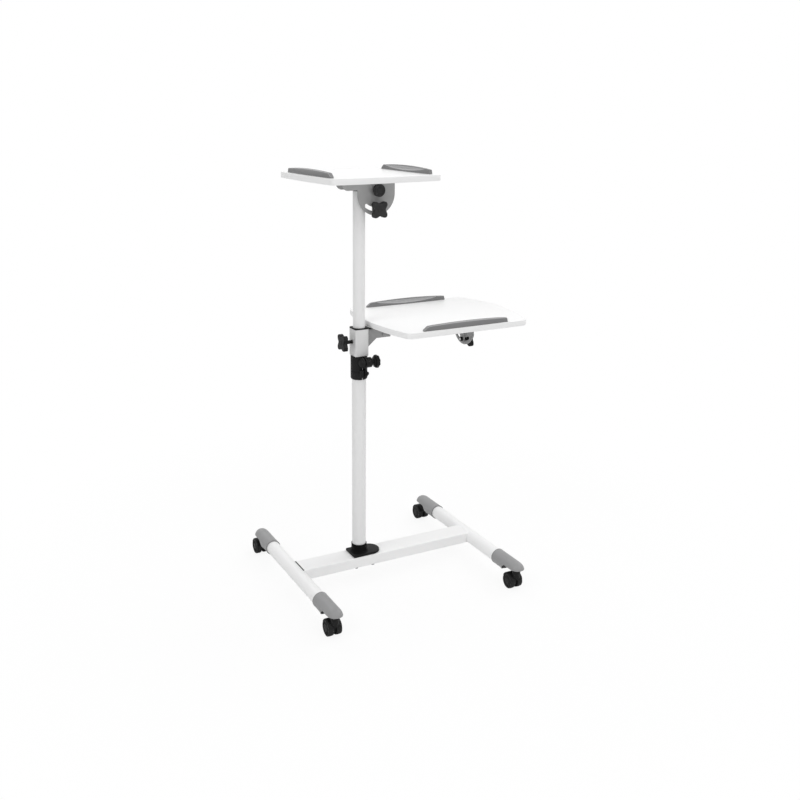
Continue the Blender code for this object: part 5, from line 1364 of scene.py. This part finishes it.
view = dict(
    eye=(-1.0923, -2.1996, 1.3014), target=(0, 0, 0.7145), lens=43.0, sensor=36, shiftX=0.0513,
    shiftY=-0.0875,
)
floorLook = dict(reach=60, grey=0.94, roughness=0.7, fade={"From Min": 0.3, "From Max": 1.3, "To Min": 0.88})
worldLight = 0.44
lampTarget = (0, 0, 0.5)
lamps = {
    "topLamp": dict(place=(1.0, 0.4, 6.2), size=4.4, power=34),
    "frontLamp": dict(place=(1.8, -5.2, 5.2), size=4.0, power=122),
    "leftLamp": dict(place=(-5.0, -1.8, 5.2), size=4.0, power=122),
    "rightLamp": dict(place=(5.2, 1.0, 5.2), size=4.0, power=108),
    "backLamp": dict(place=(-0.6, 5.4, 5.2), size=4.0, power=56),
}


def makeFloor():
    reach, grey = pick(floorLook, "reach grey")
    mesh = bpy.data.meshes.new("floor")
    corners = [(-reach, -reach, 0), (reach, -reach, 0), (reach, reach, 0), (-reach, reach, 0)]
    mesh.from_pydata(corners, [], [(0, 1, 2, 3)])
    floor = linked("studioFloor", mesh)
    material = bpy.data.materials.new("studioFloor")
    material.use_nodes = True
    tree = material.node_tree
    shader = tree.nodes["Principled BSDF"]
    shader.inputs["Base Color"].default_value = (grey, grey, grey, 1)
    shader.inputs["Roughness"].default_value = floorLook["roughness"]
    shader.inputs["Specular IOR Level"].default_value = 0.0
    # The camera sees the floor turn fully white away from the trolley
    length = tree.nodes.new("ShaderNodeVectorMath")
    length.operation = "LENGTH"
    tree.links.new(tree.nodes.new("ShaderNodeTexCoord").outputs["Object"], length.inputs[0])
    fade = addNode(tree, "ShaderNodeMapRange", {**floorLook["fade"], "Value": length.outputs["Value"]})
    rays = tree.nodes.new("ShaderNodeLightPath")
    part = addMaths(tree, "MULTIPLY", rays.outputs["Is Camera Ray"], fade)
    white = addNode(tree, "ShaderNodeEmission", {"Color": (1, 1, 1, 1)})
    mixed = addNode(tree, "ShaderNodeMixShader", {0: part, 1: shader.outputs[0], 2: white})
    tree.links.new(mixed, tree.nodes["Material Output"].inputs["Surface"])
    mesh.materials.append(material)


def makeWorld():
    world = bpy.data.worlds.new("studio")
    bpy.context.scene.world = world
    world.use_nodes = True
    tree = world.node_tree
    tree.nodes.clear()
    rays = tree.nodes.new("ShaderNodeLightPath")
    seen = addMaths(tree, "MAXIMUM", rays.outputs["Is Camera Ray"], rays.outputs["Is Glossy Ray"])
    clear = addMaths(tree, "MAXIMUM", seen, rays.outputs["Is Transmission Ray"])
    soft, white = (
        addNode(tree, "ShaderNodeBackground", {"Color": (1, 1, 1, 1), "Strength": strength})
        for strength in (worldLight, 1.0)
    )
    mixed = addNode(tree, "ShaderNodeMixShader", {0: clear, 1: soft, 2: white})
    out = tree.nodes.new("ShaderNodeOutputWorld")
    tree.links.new(mixed, out.inputs["Surface"])


def aimed(name, data, place, target):
    # Stands in the scene and looks at the target
    item = linked(name, data)
    item.location = column + Vector(place)
    item.rotation_euler = (column + Vector(target) - item.location).to_track_quat("-Z", "Y").to_euler()
    return item


def addLamp(name, look):
    lamp = bpy.data.lights.new(name, "AREA")
    lamp.shape = "DISK"
    lamp.size = look["size"]
    lamp.energy = look["power"]
    aimed(name, lamp, look["place"], lampTarget)


def makeCamera():
    camera = bpy.data.cameras.new("productView")
    camera.lens, camera.sensor_width, camera.shift_x, camera.shift_y = pick(view, "lens sensor shiftX shiftY")
    bpy.context.scene.camera = aimed("productView", camera, view["eye"], view["target"])


makeFloor()
makeWorld()
for name, look in lamps.items():
    addLamp(name, look)
makeCamera()
bpy.context.scene.view_settings.view_transform = "Standard"
bpy.data.collections.remove(scratch)
